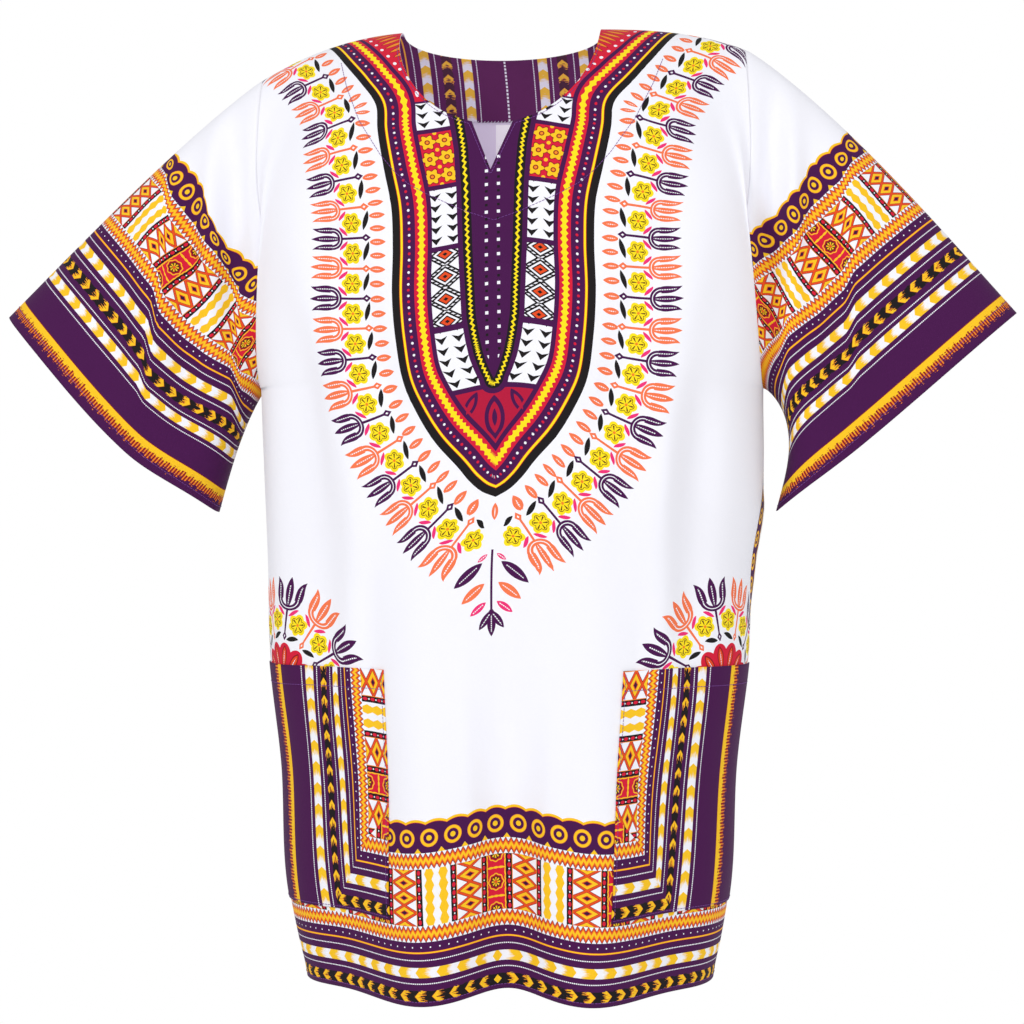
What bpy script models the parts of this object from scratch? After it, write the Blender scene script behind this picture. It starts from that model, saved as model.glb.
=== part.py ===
"""A pull-over dashiki shirt of printed cotton, filled out as it is worn, with no wearer inside.

Metres, +Z up. The origin is the middle of the neck at the height of the shoulders.
The front faces -Y, and the wearer's left is +X. Each cut panel of cloth is one thin wall.
"""

import math
from collections import namedtuple

import bmesh
import bpy
from mathutils import Vector

# Cloth and seams
CLOTH = 0.0013
FACING_CLOTH = 0.0011
LABEL_CLOTH = 0.0010
SEAM_GAP = 0.0003
SIDE_EDGE_LEAN = 0.0001
SHOULDER_EDGE_LEAN = 0.0005
LAY_GAP = 0.0004
SLEEVE_SEAM_GAP = 0.0011

# Body of the shirt: one row for each height, from the hem up to the armpits
HEM_HEIGHT = -0.778
ARMPIT_HEIGHT = -0.295
Section = namedtuple("Section", "height half_width centre front back")
BODY = [
    Section(-0.778, 0.1680, 0.0070, 0.132, 0.128),
    Section(-0.745, 0.1750, 0.0065, 0.131, 0.126),
    Section(-0.710, 0.1815, 0.0058, 0.129, 0.124),
    Section(-0.603, 0.1875, 0.0056, 0.126, 0.118),
    Section(-0.506, 0.1985, 0.0059, 0.124, 0.111),
    Section(-0.437, 0.2000, 0.0063, 0.124, 0.108),
    Section(-0.387, 0.2050, 0.0094, 0.125, 0.108),
    Section(-0.295, 0.2075, 0.0083, 0.127, 0.113),
]
SIDE_FULLNESS = 0.8

# Shoulders and armholes
SHOULDER_HALF_WIDTH = 0.200
SHOULDER_START = 0.060
ShoulderSlope = namedtuple("ShoulderSlope", "drop power")
SHOULDERS = {-1: ShoulderSlope(0.0380, 2.2), 1: ShoulderSlope(0.0180, 3.0)}
SHOULDER_TOP = 0.002
ARMHOLE_HALF_DEPTH = 0.043
ARMHOLE_FILL = 1.2

# The body's cloth rolls forward beside the lower armhole and tucks back in to the sleeve seam
ARMHOLE_TUCK = 0.36
ARMHOLE_ROLL = 0.011
ROLL_AT = 0.88
ROLL_WIDTH = 0.09
ROLL_FADES_FROM = 0.40
ROLL_FADES_OVER = 0.35

# Neck opening, with a short V cut in the middle of the front
NECK_HALF_WIDTH = 0.0825
FRONT_NECK_DEPTH = 0.0865
BACK_NECK_DEPTH = 0.0165
NOTCH_HALF_WIDTH = 0.0165
NOTCH_DEPTH = 0.125
NECK_STEPS = 12
CUTTER_TOP = 0.060
CUTTER_REACH = 0.200

# Hanging folds: where each stands at the hem, its half width, where it dies out and how far it stands out
Fold = namedtuple("Fold", "x width top depth")
FRONT_FOLDS = [
    Fold(-0.050, 0.040, -0.400, 0.022),
    Fold(0.086, 0.038, -0.420, 0.020),
    Fold(0.016, 0.030, -0.470, -0.020),
    Fold(-0.118, 0.026, -0.560, -0.008),
    Fold(0.140, 0.024, -0.560, -0.007),
]
BACK_FOLDS = [
    Fold(-0.098, 0.032, -0.380, 0.016),
    Fold(-0.012, 0.036, -0.420, 0.019),
    Fold(0.080, 0.034, -0.360, 0.016),
    Fold(-0.055, 0.026, -0.460, -0.010),
    Fold(0.036, 0.026, -0.440, -0.012),
]

# Sleeves: the two ends of the pressed cuff edge, as distances out from the neck and down from it
Cuff = namedtuple("Cuff", "tip_out tip_down under_out under_down half_depth top_bow under_bow")
CUFFS = {
    -1: Cuff(0.4165, 0.2326, 0.2385, 0.3970, 0.055, 0.006, 0.005),
    1: Cuff(0.4220, 0.2345, 0.2262, 0.3960, 0.046, 0.010, 0.017),
}
SleeveFold = namedtuple("SleeveFold", "side face x width top bottom depth")
SLEEVE_FOLDS = [
    SleeveFold(-1, -1, 0.287, 0.016, -0.130, -0.320, 0.009),
    SleeveFold(-1, -1, 0.255, 0.013, -0.120, -0.330, -0.009),
    SleeveFold(-1, 1, 0.280, 0.018, -0.120, -0.310, 0.008),
    SleeveFold(-1, 1, 0.320, 0.014, -0.150, -0.320, -0.006),
    SleeveFold(1, -1, 0.290, 0.016, -0.120, -0.310, 0.008),
    SleeveFold(1, -1, 0.256, 0.012, -0.110, -0.320, -0.008),
    SleeveFold(1, 1, 0.300, 0.018, -0.130, -0.320, 0.008),
    SleeveFold(1, 1, 0.265, 0.014, -0.120, -0.300, -0.006),
]
SLEEVE_FOLD_START = 0.20

# Grids. The pockets' inner edges and their top and bottom lie on the front's own grid lines.
ROWS_BELOW_ARMPIT = 15
ROWS_ABOVE_ARMPIT = 14
COLUMNS_TO_POCKET = 6
COLUMNS_BESIDE_POCKET = 12
BACK_COLUMNS = 16
POCKET_EDGE = {-1: 0.300, 1: 0.335}
POCKET_BOTTOM_ROW = 2
POCKET_TOP_ROW = 8
POCKET_SEAM_COLUMN = 17.85
SLEEVE_STEPS = 12

# Facing inside the back of the neck, and the care label under it, counted in the back's grid
FACING_COLUMNS = 10
FACING_BOTTOM_ROW = 8
LABEL_COLUMNS = (-0.80, 0.02)
LABEL_ROWS = (6.80, 7.35, 7.90)

Finish = namedtuple("Finish", "colour roughness")
WHITE_COTTON = Finish((0.90, 0.90, 0.93), 0.85)
PRINTED_COTTON = Finish((0.09, 0.02, 0.10), 0.80)
POCKET_COTTON = Finish((0.12, 0.03, 0.12), 0.80)
LABEL_SATIN = Finish((0.86, 0.86, 0.86), 0.55)


def mix(start, end, share):
    return start + (end - start) * share


def smooth(share):
    """0 below 0, 1 above 1, and a soft rise between them."""
    share = min(max(share, 0.0), 1.0)
    return share * share * (3.0 - 2.0 * share)


def section_at(height):
    """The body's sizes at a height, read from the table along a smooth curve."""
    last = len(BODY) - 1
    low = 0
    while low < last - 1 and BODY[low + 1].height < height:
        low += 1
    below, above = BODY[low], BODY[low + 1]
    span = above.height - below.height
    share = (height - below.height) / span
    before = BODY[max(low - 1, 0)]
    after = BODY[min(low + 2, last)]

    def along(column):
        start, end = getattr(below, column), getattr(above, column)
        slope_in = span * (end - getattr(before, column)) / (above.height - before.height)
        slope_out = span * (getattr(after, column) - start) / (after.height - below.height)
        rise = share * share * (3.0 - 2.0 * share)
        early = share * (1.0 - share) ** 2
        late = share * share * (share - 1.0)
        return mix(start, end, rise) + slope_in * early + slope_out * late

    return [along(column) for column in ("half_width", "centre", "front", "back")]


def shoulder_height(x):
    """The height of the shoulder seam, which runs down from the neck to the armhole."""
    slope = SHOULDERS[1 if x >= 0 else -1]
    reach = (abs(x) - SHOULDER_START) / (SHOULDER_HALF_WIDTH - SHOULDER_START)
    return SHOULDER_TOP - slope.drop * max(reach, 0.0) ** slope.power


def fold_depth(folds, x, height):
    """How far the hanging folds push the cloth out at one place."""
    total = 0.0
    for fold in folds:
        growth = smooth((fold.top - height) / (fold.top - HEM_HEIGHT))
        total += fold.depth * growth * math.exp(-(((x - fold.x) / fold.width) ** 2))
    return total


def body_point(face, across, up):
    """A point on the outside of the body's cloth.

    face is -1 for the front and 1 for the back, across runs from -1 to 1 between the sides, and
    up runs from 0 at the hem to 1 at the armpits and 2 at the shoulder seam.
    """
    side = 1 if across >= 0 else -1
    reach = abs(across)
    climb = max(up - 1.0, 0.0)
    height = mix(HEM_HEIGHT, ARMPIT_HEIGHT, min(up, 1.0))
    half_width, centre, front, back = section_at(height)
    depth = front if face < 0 else back

    arch = math.sin(math.pi * climb)
    hang = arch * (1.0 - smooth((climb - ROLL_FADES_FROM) / ROLL_FADES_OVER))
    rounded = math.sin(reach * (math.pi / 2 + ARMHOLE_TUCK * hang))
    widest = mix(half_width, SHOULDER_HALF_WIDTH, climb)
    x = centre * (1.0 - climb) + side * widest * mix(rounded, reach, climb**2)

    turn = max(math.cos(reach * math.pi / 2), 0.0)
    rise = climb * math.pi / 2
    chest = depth * math.cos(rise) * turn**SIDE_FULLNESS
    armhole = ARMHOLE_HALF_DEPTH * arch * reach**ARMHOLE_FILL
    y = math.hypot(chest, armhole)
    y += ARMHOLE_ROLL * hang * math.exp(-(((reach - ROLL_AT) / ROLL_WIDTH) ** 2))
    y += fold_depth(FRONT_FOLDS if face < 0 else BACK_FOLDS, x, height) * min(turn * 2.0, 1.0)

    if climb > 0.0:
        share = math.sin(rise) ** (1.0 + reach**4)
        height = mix(ARMPIT_HEIGHT, shoulder_height(x), share)
    setback = SEAM_GAP / 2 + mix(SIDE_EDGE_LEAN, SHOULDER_EDGE_LEAN, climb)
    return Vector((x, face * max(y, setback), height))


def body_normal(face, across, up):
    """The outward direction of the cloth at a point, from its neighbours."""
    step = 0.02
    left, right = max(across - step, -1.0), min(across + step, 1.0)
    below, above = max(up - step, 0.0), min(up + step, 2.0)
    over = body_point(face, right, up) - body_point(face, left, up)
    rise = body_point(face, across, above) - body_point(face, across, below)
    normal = over.cross(rise) if face < 0 else rise.cross(over)
    return normal.normalized()


def front_across(column):
    """A column of the front's grid, from -18 to 18, as a place across it."""
    side = 1 if column >= 0 else -1
    count = abs(column)
    edge = POCKET_EDGE[side]
    if count <= COLUMNS_TO_POCKET:
        return side * edge * count / COLUMNS_TO_POCKET
    return side * mix(edge, 1.0, (count - COLUMNS_TO_POCKET) / COLUMNS_BESIDE_POCKET)


def back_across(column):
    return column / BACK_COLUMNS


def row_up(row):
    """A row of the body's grids as a height share for body_point."""
    if row <= ROWS_BELOW_ARMPIT:
        return row / ROWS_BELOW_ARMPIT
    return 1.0 + (row - ROWS_BELOW_ARMPIT) / ROWS_ABOVE_ARMPIT


def laid_point(face, column, row, lift):
    """A point on a panel's own facets, between its grid's points, moved out by lift or in by -lift."""
    to_across = front_across if face < 0 else back_across
    first, low = math.floor(column), math.floor(row)
    total = Vector((0.0, 0.0, 0.0))
    for step_over in (0, 1):
        for step_up in (0, 1):
            share_over = column - first if step_over else 1.0 - (column - first)
            share_up = row - low if step_up else 1.0 - (row - low)
            share = share_over * share_up
            if share == 0.0:
                continue
            across = to_across(first + step_over)
            up = row_up(low + step_up)
            lifted = body_point(face, across, up) + body_normal(face, across, up) * lift
            total += lifted * share
    return total


def sleeve_point(side, along, around):
    """A point on the outside of a sleeve.

    along runs from 0 at the armhole to 1 at the cuff. around is an angle from the top of the
    sleeve, forwards and down to the underarm, and up again at the back.
    """
    face = -1 if around <= math.pi else 1
    climb = abs(1.0 - around / math.pi)
    seam = body_point(face, side, 1.0 + climb)
    seam.x += side * SLEEVE_SEAM_GAP

    cuff = CUFFS[side]
    tip = Vector((side * cuff.tip_out, 0.0, -cuff.tip_down))
    under = Vector((side * cuff.under_out, 0.0, -cuff.under_down))
    middle = (tip + under) / 2
    down_and_up = math.cos(around)
    opening = middle + (tip - under) / 2 * down_and_up
    opening.y = -cuff.half_depth * math.sin(around)

    point = seam.lerp(opening, along)
    bow = math.sin(math.pi * along**0.7)
    outward = Vector((side * 0.7, 0.0, 0.7))
    point += outward * cuff.top_bow * bow * max(down_and_up, 0.0)
    point.x += side * cuff.under_bow * bow * max(-down_and_up, 0.0)

    fade = abs(math.sin(around)) * smooth(along / SLEEVE_FOLD_START)
    for fold in SLEEVE_FOLDS:
        if fold.side != side or fold.face != face:
            continue
        middle_height = (fold.top + fold.bottom) / 2
        half_height = (fold.top - fold.bottom) / 2
        upright = math.exp(-(((point.z - middle_height) / half_height) ** 4))
        level = math.exp(-(((abs(point.x) - fold.x) / fold.width) ** 2))
        point.y += face * fold.depth * upright * level * fade
    return point


def make_material(name, finish):
    material = bpy.data.materials.new(name)
    material.use_nodes = True
    shader = material.node_tree.nodes["Principled BSDF"]
    shader.inputs["Base Color"].default_value = (*finish.colour, 1.0)
    shader.inputs["Roughness"].default_value = finish.roughness
    shader.inputs["Metallic"].default_value = 0.0
    return material


def add_object(name, mesh, collection, finish=None):
    piece = bpy.data.objects.new(name, mesh)
    collection.objects.link(piece)
    if finish is not None:
        mesh.materials.append(make_material(name + "_cloth", finish))
        mesh.shade_smooth()
    return piece


def grid_mesh(name, columns, rows, place, closed=False):
    """A grid whose points are moved to place(column, row). A closed grid's last column is its first."""
    mesh = bpy.data.meshes.new(name)
    sheet = bmesh.new()
    bmesh.ops.create_grid(sheet, x_segments=columns, y_segments=rows, size=1.0)
    for vertex in sheet.verts:
        column = round((vertex.co.x + 1.0) / 2.0 * columns)
        row = round((vertex.co.y + 1.0) / 2.0 * rows)
        if closed and column == columns:
            column = 0
        vertex.co = place(column, row)
    if closed:
        bmesh.ops.remove_doubles(sheet, verts=sheet.verts, dist=0.00005)
    bmesh.ops.triangulate(sheet, faces=sheet.faces, quad_method="FIXED")
    sheet.to_mesh(mesh)
    sheet.free()
    return mesh


def add_wall(piece, thickness):
    """Thickens a sheet inwards into a wall of cloth."""
    wall = piece.modifiers.new("cloth_wall", "SOLIDIFY")
    wall.thickness = thickness
    wall.offset = -1.0
    wall.use_even_offset = False


def neck_cutter(name, depth, notch, face, collection):
    """A prism of the neck opening's outline, seen from the front, that cuts one panel."""
    outline = [Vector((-NECK_HALF_WIDTH, 0.0, CUTTER_TOP))]
    for step in range(NECK_STEPS + 1):
        angle = math.pi * step / NECK_STEPS
        x = -NECK_HALF_WIDTH * math.cos(angle)
        z = -depth * math.sin(angle)
        if notch and abs(x) < NOTCH_HALF_WIDTH:
            continue
        outline.append(Vector((x, 0.0, z)))
    if notch:
        lip = -depth * math.sqrt(1.0 - (NOTCH_HALF_WIDTH / NECK_HALF_WIDTH) ** 2)
        half = len(outline) // 2 + 1
        cut = [(-NOTCH_HALF_WIDTH, lip), (0.0, -NOTCH_DEPTH), (NOTCH_HALF_WIDTH, lip)]
        outline[half:half] = [Vector((x, 0.0, z)) for x, z in cut]
    outline.append(Vector((NECK_HALF_WIDTH, 0.0, CUTTER_TOP)))

    mesh = bpy.data.meshes.new(name)
    prism = bmesh.new()
    ring = [prism.verts.new(point) for point in outline]
    start = prism.faces.new(ring)
    grown = bmesh.ops.extrude_face_region(prism, geom=[start])
    moved = [item for item in grown["geom"] if isinstance(item, bmesh.types.BMVert)]
    bmesh.ops.translate(prism, verts=moved, vec=(0.0, face * CUTTER_REACH, 0.0))
    bmesh.ops.translate(prism, verts=prism.verts, vec=(0.0, -face * 0.02, 0.0))
    bmesh.ops.recalc_face_normals(prism, faces=prism.faces)
    prism.to_mesh(mesh)
    prism.free()
    cutter = add_object(name, mesh, collection)
    cutter.hide_render = True
    cutter.display_type = "WIRE"
    return cutter


def cut_with(piece, cutter):
    cut = piece.modifiers.new("neck_opening", "BOOLEAN")
    cut.operation = "DIFFERENCE"
    cut.solver = "EXACT"
    cut.object = cutter


def build_front(shirt, cutter):
    half = COLUMNS_TO_POCKET + COLUMNS_BESIDE_POCKET
    rows = ROWS_BELOW_ARMPIT + ROWS_ABOVE_ARMPIT
    mesh = grid_mesh(
        "front_panel",
        2 * half,
        rows,
        lambda column, row: body_point(-1, front_across(column - half), row_up(row)),
    )
    front = add_object("front_panel", mesh, shirt, WHITE_COTTON)
    add_wall(front, CLOTH)
    cut_with(front, cutter)


def build_back(shirt, cutter):
    rows = ROWS_BELOW_ARMPIT + ROWS_ABOVE_ARMPIT
    mesh = grid_mesh(
        "back_panel",
        2 * BACK_COLUMNS,
        rows,
        lambda column, row: body_point(1, back_across(BACK_COLUMNS - column), row_up(row)),
    )
    back = add_object("back_panel", mesh, shirt, WHITE_COTTON)
    add_wall(back, CLOTH)
    cut_with(back, cutter)


def build_sleeve(shirt, name, side):
    """One sleeve. Its ring's points stand opposite the rows of the armhole."""
    ring = 2 * ROWS_ABOVE_ARMPIT

    def place(column, row):
        share = column / ring if side < 0 else (ring - column) % ring / ring
        return sleeve_point(side, 1.0 - row / SLEEVE_STEPS, 2.0 * math.pi * share)

    mesh = grid_mesh(name, ring, SLEEVE_STEPS, place, closed=True)
    sleeve = add_object(name, mesh, shirt, WHITE_COTTON)
    add_wall(sleeve, CLOTH)


def build_pocket(shirt, name, side):
    """One patch pocket, laid on the front from its grid line to just short of the side seam."""
    lift = LAY_GAP + CLOTH
    columns = [*range(COLUMNS_TO_POCKET, math.ceil(POCKET_SEAM_COLUMN)), POCKET_SEAM_COLUMN]
    if side < 0:
        columns = [-column for column in reversed(columns)]
    mesh = grid_mesh(
        name,
        len(columns) - 1,
        POCKET_TOP_ROW - POCKET_BOTTOM_ROW,
        lambda column, row: laid_point(-1, columns[column], POCKET_BOTTOM_ROW + row, lift),
    )
    pocket = add_object(name, mesh, shirt, POCKET_COTTON)
    add_wall(pocket, CLOTH)


def build_facing(shirt, cutter):
    """The band of printed cloth inside the back of the neck, up to the shoulder seams."""
    depth = CLOTH + LAY_GAP
    rows = ROWS_BELOW_ARMPIT + ROWS_ABOVE_ARMPIT
    bottom = ROWS_BELOW_ARMPIT + FACING_BOTTOM_ROW
    mesh = grid_mesh(
        "back_neck_facing",
        2 * FACING_COLUMNS,
        rows - bottom,
        lambda column, row: laid_point(1, FACING_COLUMNS - column, bottom + row, -depth),
    )
    facing = add_object("back_neck_facing", mesh, shirt, PRINTED_COTTON)
    add_wall(facing, FACING_CLOTH)
    cut_with(facing, cutter)


def build_label(shirt):
    """The blank care label, sewn in just under the facing."""
    depth = CLOTH + LAY_GAP
    columns = LABEL_COLUMNS[::-1]
    mesh = grid_mesh(
        "care_label",
        len(columns) - 1,
        len(LABEL_ROWS) - 1,
        lambda column, row: laid_point(1, columns[column], ROWS_BELOW_ARMPIT + LABEL_ROWS[row], -depth),
    )
    label = add_object("care_label", mesh, shirt, LABEL_SATIN)
    add_wall(label, LABEL_CLOTH)


def clear_scene():
    for piece in list(bpy.data.objects):
        bpy.data.objects.remove(piece, do_unlink=True)


def main():
    clear_scene()
    shirt = bpy.data.collections.new("dashiki_shirt")
    cutters = bpy.data.collections.new("cutters")
    for collection in (shirt, cutters):
        bpy.context.scene.collection.children.link(collection)

    front_neck = neck_cutter("front_neck_cutter", FRONT_NECK_DEPTH, True, -1, cutters)
    back_neck = neck_cutter("back_neck_cutter", BACK_NECK_DEPTH, False, 1, cutters)
    build_front(shirt, front_neck)
    build_back(shirt, back_neck)
    build_sleeve(shirt, "sleeve_right", -1)
    build_sleeve(shirt, "sleeve_left", 1)
    build_pocket(shirt, "pocket_right", -1)
    build_pocket(shirt, "pocket_left", 1)
    build_facing(shirt, back_neck)
    build_label(shirt)


main()
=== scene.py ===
import math
from collections import namedtuple

import bmesh
import bpy
import numpy as np
from mathutils import Matrix, Quaternion, Vector
from mathutils.bvhtree import BVHTree


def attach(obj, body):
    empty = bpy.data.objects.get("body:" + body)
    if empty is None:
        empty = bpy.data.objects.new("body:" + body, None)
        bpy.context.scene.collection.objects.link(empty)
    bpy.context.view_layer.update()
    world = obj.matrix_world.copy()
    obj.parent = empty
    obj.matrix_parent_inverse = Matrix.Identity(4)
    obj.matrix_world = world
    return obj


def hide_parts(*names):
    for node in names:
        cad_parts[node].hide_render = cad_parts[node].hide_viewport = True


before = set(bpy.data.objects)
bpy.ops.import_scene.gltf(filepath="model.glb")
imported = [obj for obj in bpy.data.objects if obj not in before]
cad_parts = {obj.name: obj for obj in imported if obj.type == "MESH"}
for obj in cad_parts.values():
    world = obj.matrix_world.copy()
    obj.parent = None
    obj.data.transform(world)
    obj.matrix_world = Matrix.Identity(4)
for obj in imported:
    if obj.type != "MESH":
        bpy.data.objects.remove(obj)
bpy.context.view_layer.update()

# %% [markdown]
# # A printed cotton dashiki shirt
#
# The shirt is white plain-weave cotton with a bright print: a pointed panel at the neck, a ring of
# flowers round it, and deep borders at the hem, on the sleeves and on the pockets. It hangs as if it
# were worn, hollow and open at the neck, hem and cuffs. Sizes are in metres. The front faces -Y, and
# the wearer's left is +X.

# %% [markdown]
# ## The form of the body
#
# The shirt's body is a soft tube that turns over the shoulders. A table gives its half width and its
# depth at a few heights, and one function turns a place on the cloth into a point in space. The
# sizes are those of the frame, so each sheet of cloth lies where the frame has it, but for creases.

# %% Sizes of the body
CLOTH = 0.0009
HEM_HEIGHT = -0.778
ARMPIT_HEIGHT = -0.295
Section = namedtuple("Section", "height half_width centre front back")
BODY = [
    Section(-0.778, 0.1680, 0.0070, 0.132, 0.128),
    Section(-0.745, 0.1750, 0.0065, 0.131, 0.126),
    Section(-0.710, 0.1815, 0.0058, 0.129, 0.124),
    Section(-0.603, 0.1875, 0.0056, 0.126, 0.118),
    Section(-0.506, 0.1985, 0.0059, 0.124, 0.111),
    Section(-0.437, 0.2000, 0.0063, 0.124, 0.108),
    Section(-0.387, 0.2050, 0.0094, 0.125, 0.108),
    Section(-0.295, 0.2075, 0.0083, 0.127, 0.113),
]
SIDE_FULLNESS = 0.8
SHOULDER_HALF_WIDTH = 0.200
SHOULDER_START = 0.060
SHOULDER_DROP = {-1: 0.0380, 1: 0.0180}
SHOULDER_POWER = {-1: 2.2, 1: 3.0}
SHOULDER_TOP = 0.002
ARMHOLE_HALF_DEPTH = 0.043
ARMHOLE_FILL = 1.2
ARMHOLE_TUCK = 0.36
ARMHOLE_ROLL = 0.011
ROLL_AT = 0.88
ROLL_WIDTH = 0.09
ROLL_FADES_FROM = 0.40
ROLL_FADES_OVER = 0.35
EDGE_SETBACK = {"side": 0.00004, "shoulder": 0.0001}
FOLDS_TO_SIDE = 2.0

Fold = namedtuple("Fold", "x width top depth")
FOLDS = {
    -1: [
        Fold(-0.050, 0.040, -0.400, 0.022),
        Fold(0.086, 0.038, -0.420, 0.020),
        Fold(0.016, 0.030, -0.470, -0.020),
        Fold(-0.118, 0.026, -0.560, -0.008),
        Fold(0.140, 0.024, -0.560, -0.007),
    ],
    1: [
        Fold(-0.098, 0.032, -0.380, 0.016),
        Fold(-0.012, 0.036, -0.420, 0.019),
        Fold(0.080, 0.034, -0.360, 0.016),
        Fold(-0.055, 0.026, -0.460, -0.010),
        Fold(0.036, 0.026, -0.440, -0.012),
    ],
}


# %% A point on the body's cloth
def mix(start, end, share):
    return start + (end - start) * share


def smooth(share):
    share = np.clip(share, 0.0, 1.0)
    return share * share * (3.0 - 2.0 * share)


def curve_through(heights, values, height):
    """Reads a table's column along a smooth curve."""
    slopes = np.gradient(values, heights)
    slopes[0] = slopes[0] * 0.5
    low = np.clip(np.searchsorted(heights, height, side="right") - 1, 0, len(heights) - 2)
    span = heights[low + 1] - heights[low]
    share = np.clip((height - heights[low]) / span, 0.0, 1.0)
    early = share * (1.0 - share) ** 2 * span * slopes[low]
    late = share * share * (share - 1.0) * span * slopes[low + 1]
    return mix(values[low], values[low + 1], smooth(share)) + early + late


BODY_HEIGHTS = np.array([row.height for row in BODY])
BODY_COLUMNS = {
    column: np.array([getattr(row, column) for row in BODY])
    for column in ("half_width", "centre", "front", "back")
}


def body_points(face, across, up):
    """Points on the outside of the cloth. face is -1 for the front and 1 for the back, across runs
    from -1 to 1 between the sides, and up from 0 at the hem to 1 at the armpits and 2 at the shoulder."""
    side = np.where(across >= 0, 1.0, -1.0)
    reach = np.abs(across)
    climb = np.maximum(up - 1.0, 0.0)
    height = mix(HEM_HEIGHT, ARMPIT_HEIGHT, np.minimum(up, 1.0))
    sizes = {name: curve_through(BODY_HEIGHTS, values, height) for name, values in BODY_COLUMNS.items()}
    arch = np.sin(math.pi * climb)
    hang = arch * (1.0 - smooth((climb - ROLL_FADES_FROM) / ROLL_FADES_OVER))
    rounded = np.sin(reach * (math.pi / 2 + ARMHOLE_TUCK * hang))
    widest = mix(sizes["half_width"], SHOULDER_HALF_WIDTH, climb)
    x = sizes["centre"] * (1.0 - climb) + side * widest * mix(rounded, reach, climb**2)

    turn = np.maximum(np.cos(reach * math.pi / 2), 0.0)
    rise = climb * math.pi / 2
    chest = sizes["front" if face < 0 else "back"] * np.cos(rise) * turn**SIDE_FULLNESS
    armhole = ARMHOLE_HALF_DEPTH * arch * reach**ARMHOLE_FILL
    y = np.hypot(chest, armhole)
    y += ARMHOLE_ROLL * hang * np.exp(-(((reach - ROLL_AT) / ROLL_WIDTH) ** 2))
    for fold in FOLDS[face]:
        growth = smooth((fold.top - height) / (fold.top - HEM_HEIGHT))
        spread = np.exp(-(((x - fold.x) / fold.width) ** 2))
        y += fold.depth * growth * spread * np.minimum(turn * FOLDS_TO_SIDE, 1.0)

    drop = np.where(x >= 0, SHOULDER_DROP[1], SHOULDER_DROP[-1])
    power = np.where(x >= 0, SHOULDER_POWER[1], SHOULDER_POWER[-1])
    out = np.maximum((np.abs(x) - SHOULDER_START) / (SHOULDER_HALF_WIDTH - SHOULDER_START), 0.0)
    shoulder = SHOULDER_TOP - drop * out**power
    share = np.sin(rise) ** (1.0 + reach**4)
    height = np.where(climb > 0.0, mix(ARMPIT_HEIGHT, shoulder, share), height)
    setback = mix(EDGE_SETBACK["side"], EDGE_SETBACK["shoulder"], climb)
    return np.stack([x, face * np.maximum(y, setback), height], axis=-1)


print("hem front middle", body_points(-1, np.array(0.0), np.array(0.0)).round(4))

# %% [markdown]
# ## Creases
#
# Cotton that hangs from the shoulders has long shallow hollows between the chest and the arm, soft
# pulls under the neck and a few slack ridges down the sides. Each is a row of a table: where it
# starts and ends, how wide it is and how far it lifts the cloth. A crease fades at both ends.

# %% Creases of the body
Crease = namedtuple("Crease", "x_top z_top x_end z_end width depth")
CREASES = {
    -1: [
        Crease(-0.165, -0.150, -0.105, -0.420, 0.018, 0.0045),
        Crease(-0.140, -0.130, -0.070, -0.330, 0.015, -0.0035),
        Crease(0.172, -0.140, 0.120, -0.430, 0.019, 0.0045),
        Crease(0.148, -0.120, 0.085, -0.340, 0.015, -0.0035),
        Crease(-0.152, -0.230, -0.134, -0.500, 0.016, -0.0060),
        Crease(0.168, -0.290, 0.158, -0.500, 0.015, -0.0060),
        Crease(-0.184, -0.240, -0.168, -0.540, 0.014, 0.0045),
        Crease(0.138, -0.300, 0.128, -0.580, 0.014, 0.0050),
        Crease(-0.104, -0.300, -0.112, -0.540, 0.012, 0.0030),
        Crease(-0.060, -0.330, -0.052, -0.640, 0.024, 0.0045),
        Crease(0.078, -0.300, 0.088, -0.640, 0.024, 0.0040),
        Crease(-0.100, -0.430, -0.086, -0.660, 0.013, -0.0035),
        Crease(0.128, -0.420, 0.120, -0.640, 0.012, -0.0030),
        Crease(0.012, -0.420, 0.018, -0.660, 0.018, -0.0040),
        Crease(-0.020, -0.500, -0.012, -0.720, 0.010, 0.0025),
        Crease(0.050, -0.520, 0.046, -0.730, 0.010, 0.0025),
    ],
    1: [
        Crease(-0.150, -0.110, -0.090, -0.400, 0.020, 0.0050),
        Crease(-0.120, -0.090, -0.050, -0.320, 0.016, -0.0040),
        Crease(0.150, -0.110, 0.100, -0.420, 0.020, 0.0050),
        Crease(0.125, -0.090, 0.060, -0.320, 0.016, -0.0040),
        Crease(-0.190, -0.280, -0.150, -0.600, 0.014, -0.0045),
        Crease(0.170, -0.280, 0.150, -0.590, 0.014, -0.0045),
        Crease(0.206, -0.360, 0.206, -0.470, 0.012, 0.0085),
        Crease(-0.165, -0.360, -0.130, -0.680, 0.012, 0.0040),
        Crease(0.178, -0.350, 0.140, -0.660, 0.013, 0.0040),
        Crease(-0.015, -0.240, -0.012, -0.620, 0.022, 0.0045),
        Crease(0.040, -0.300, 0.036, -0.640, 0.014, -0.0040),
        Crease(-0.062, -0.320, -0.055, -0.650, 0.014, -0.0040),
        Crease(0.085, -0.430, 0.080, -0.700, 0.012, 0.0030),
    ],
}
CREASE_FROM, CREASE_RISE = -0.12, 0.45
CREASE_TO, CREASE_FALL = 1.25, 0.5


def crease_lift(creases, x, z):
    """How far the creases lift the cloth at each place."""
    lift = np.zeros_like(x)
    for crease in creases:
        along = (crease.z_top - z) / (crease.z_top - crease.z_end)
        middle = mix(crease.x_top, crease.x_end, np.clip(along, 0.0, 1.0))
        fade = smooth((along - CREASE_FROM) / CREASE_RISE) * smooth((CREASE_TO - along) / CREASE_FALL)
        lift += crease.depth * fade * np.exp(-(((x - middle) / crease.width) ** 2))
    return lift


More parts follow.
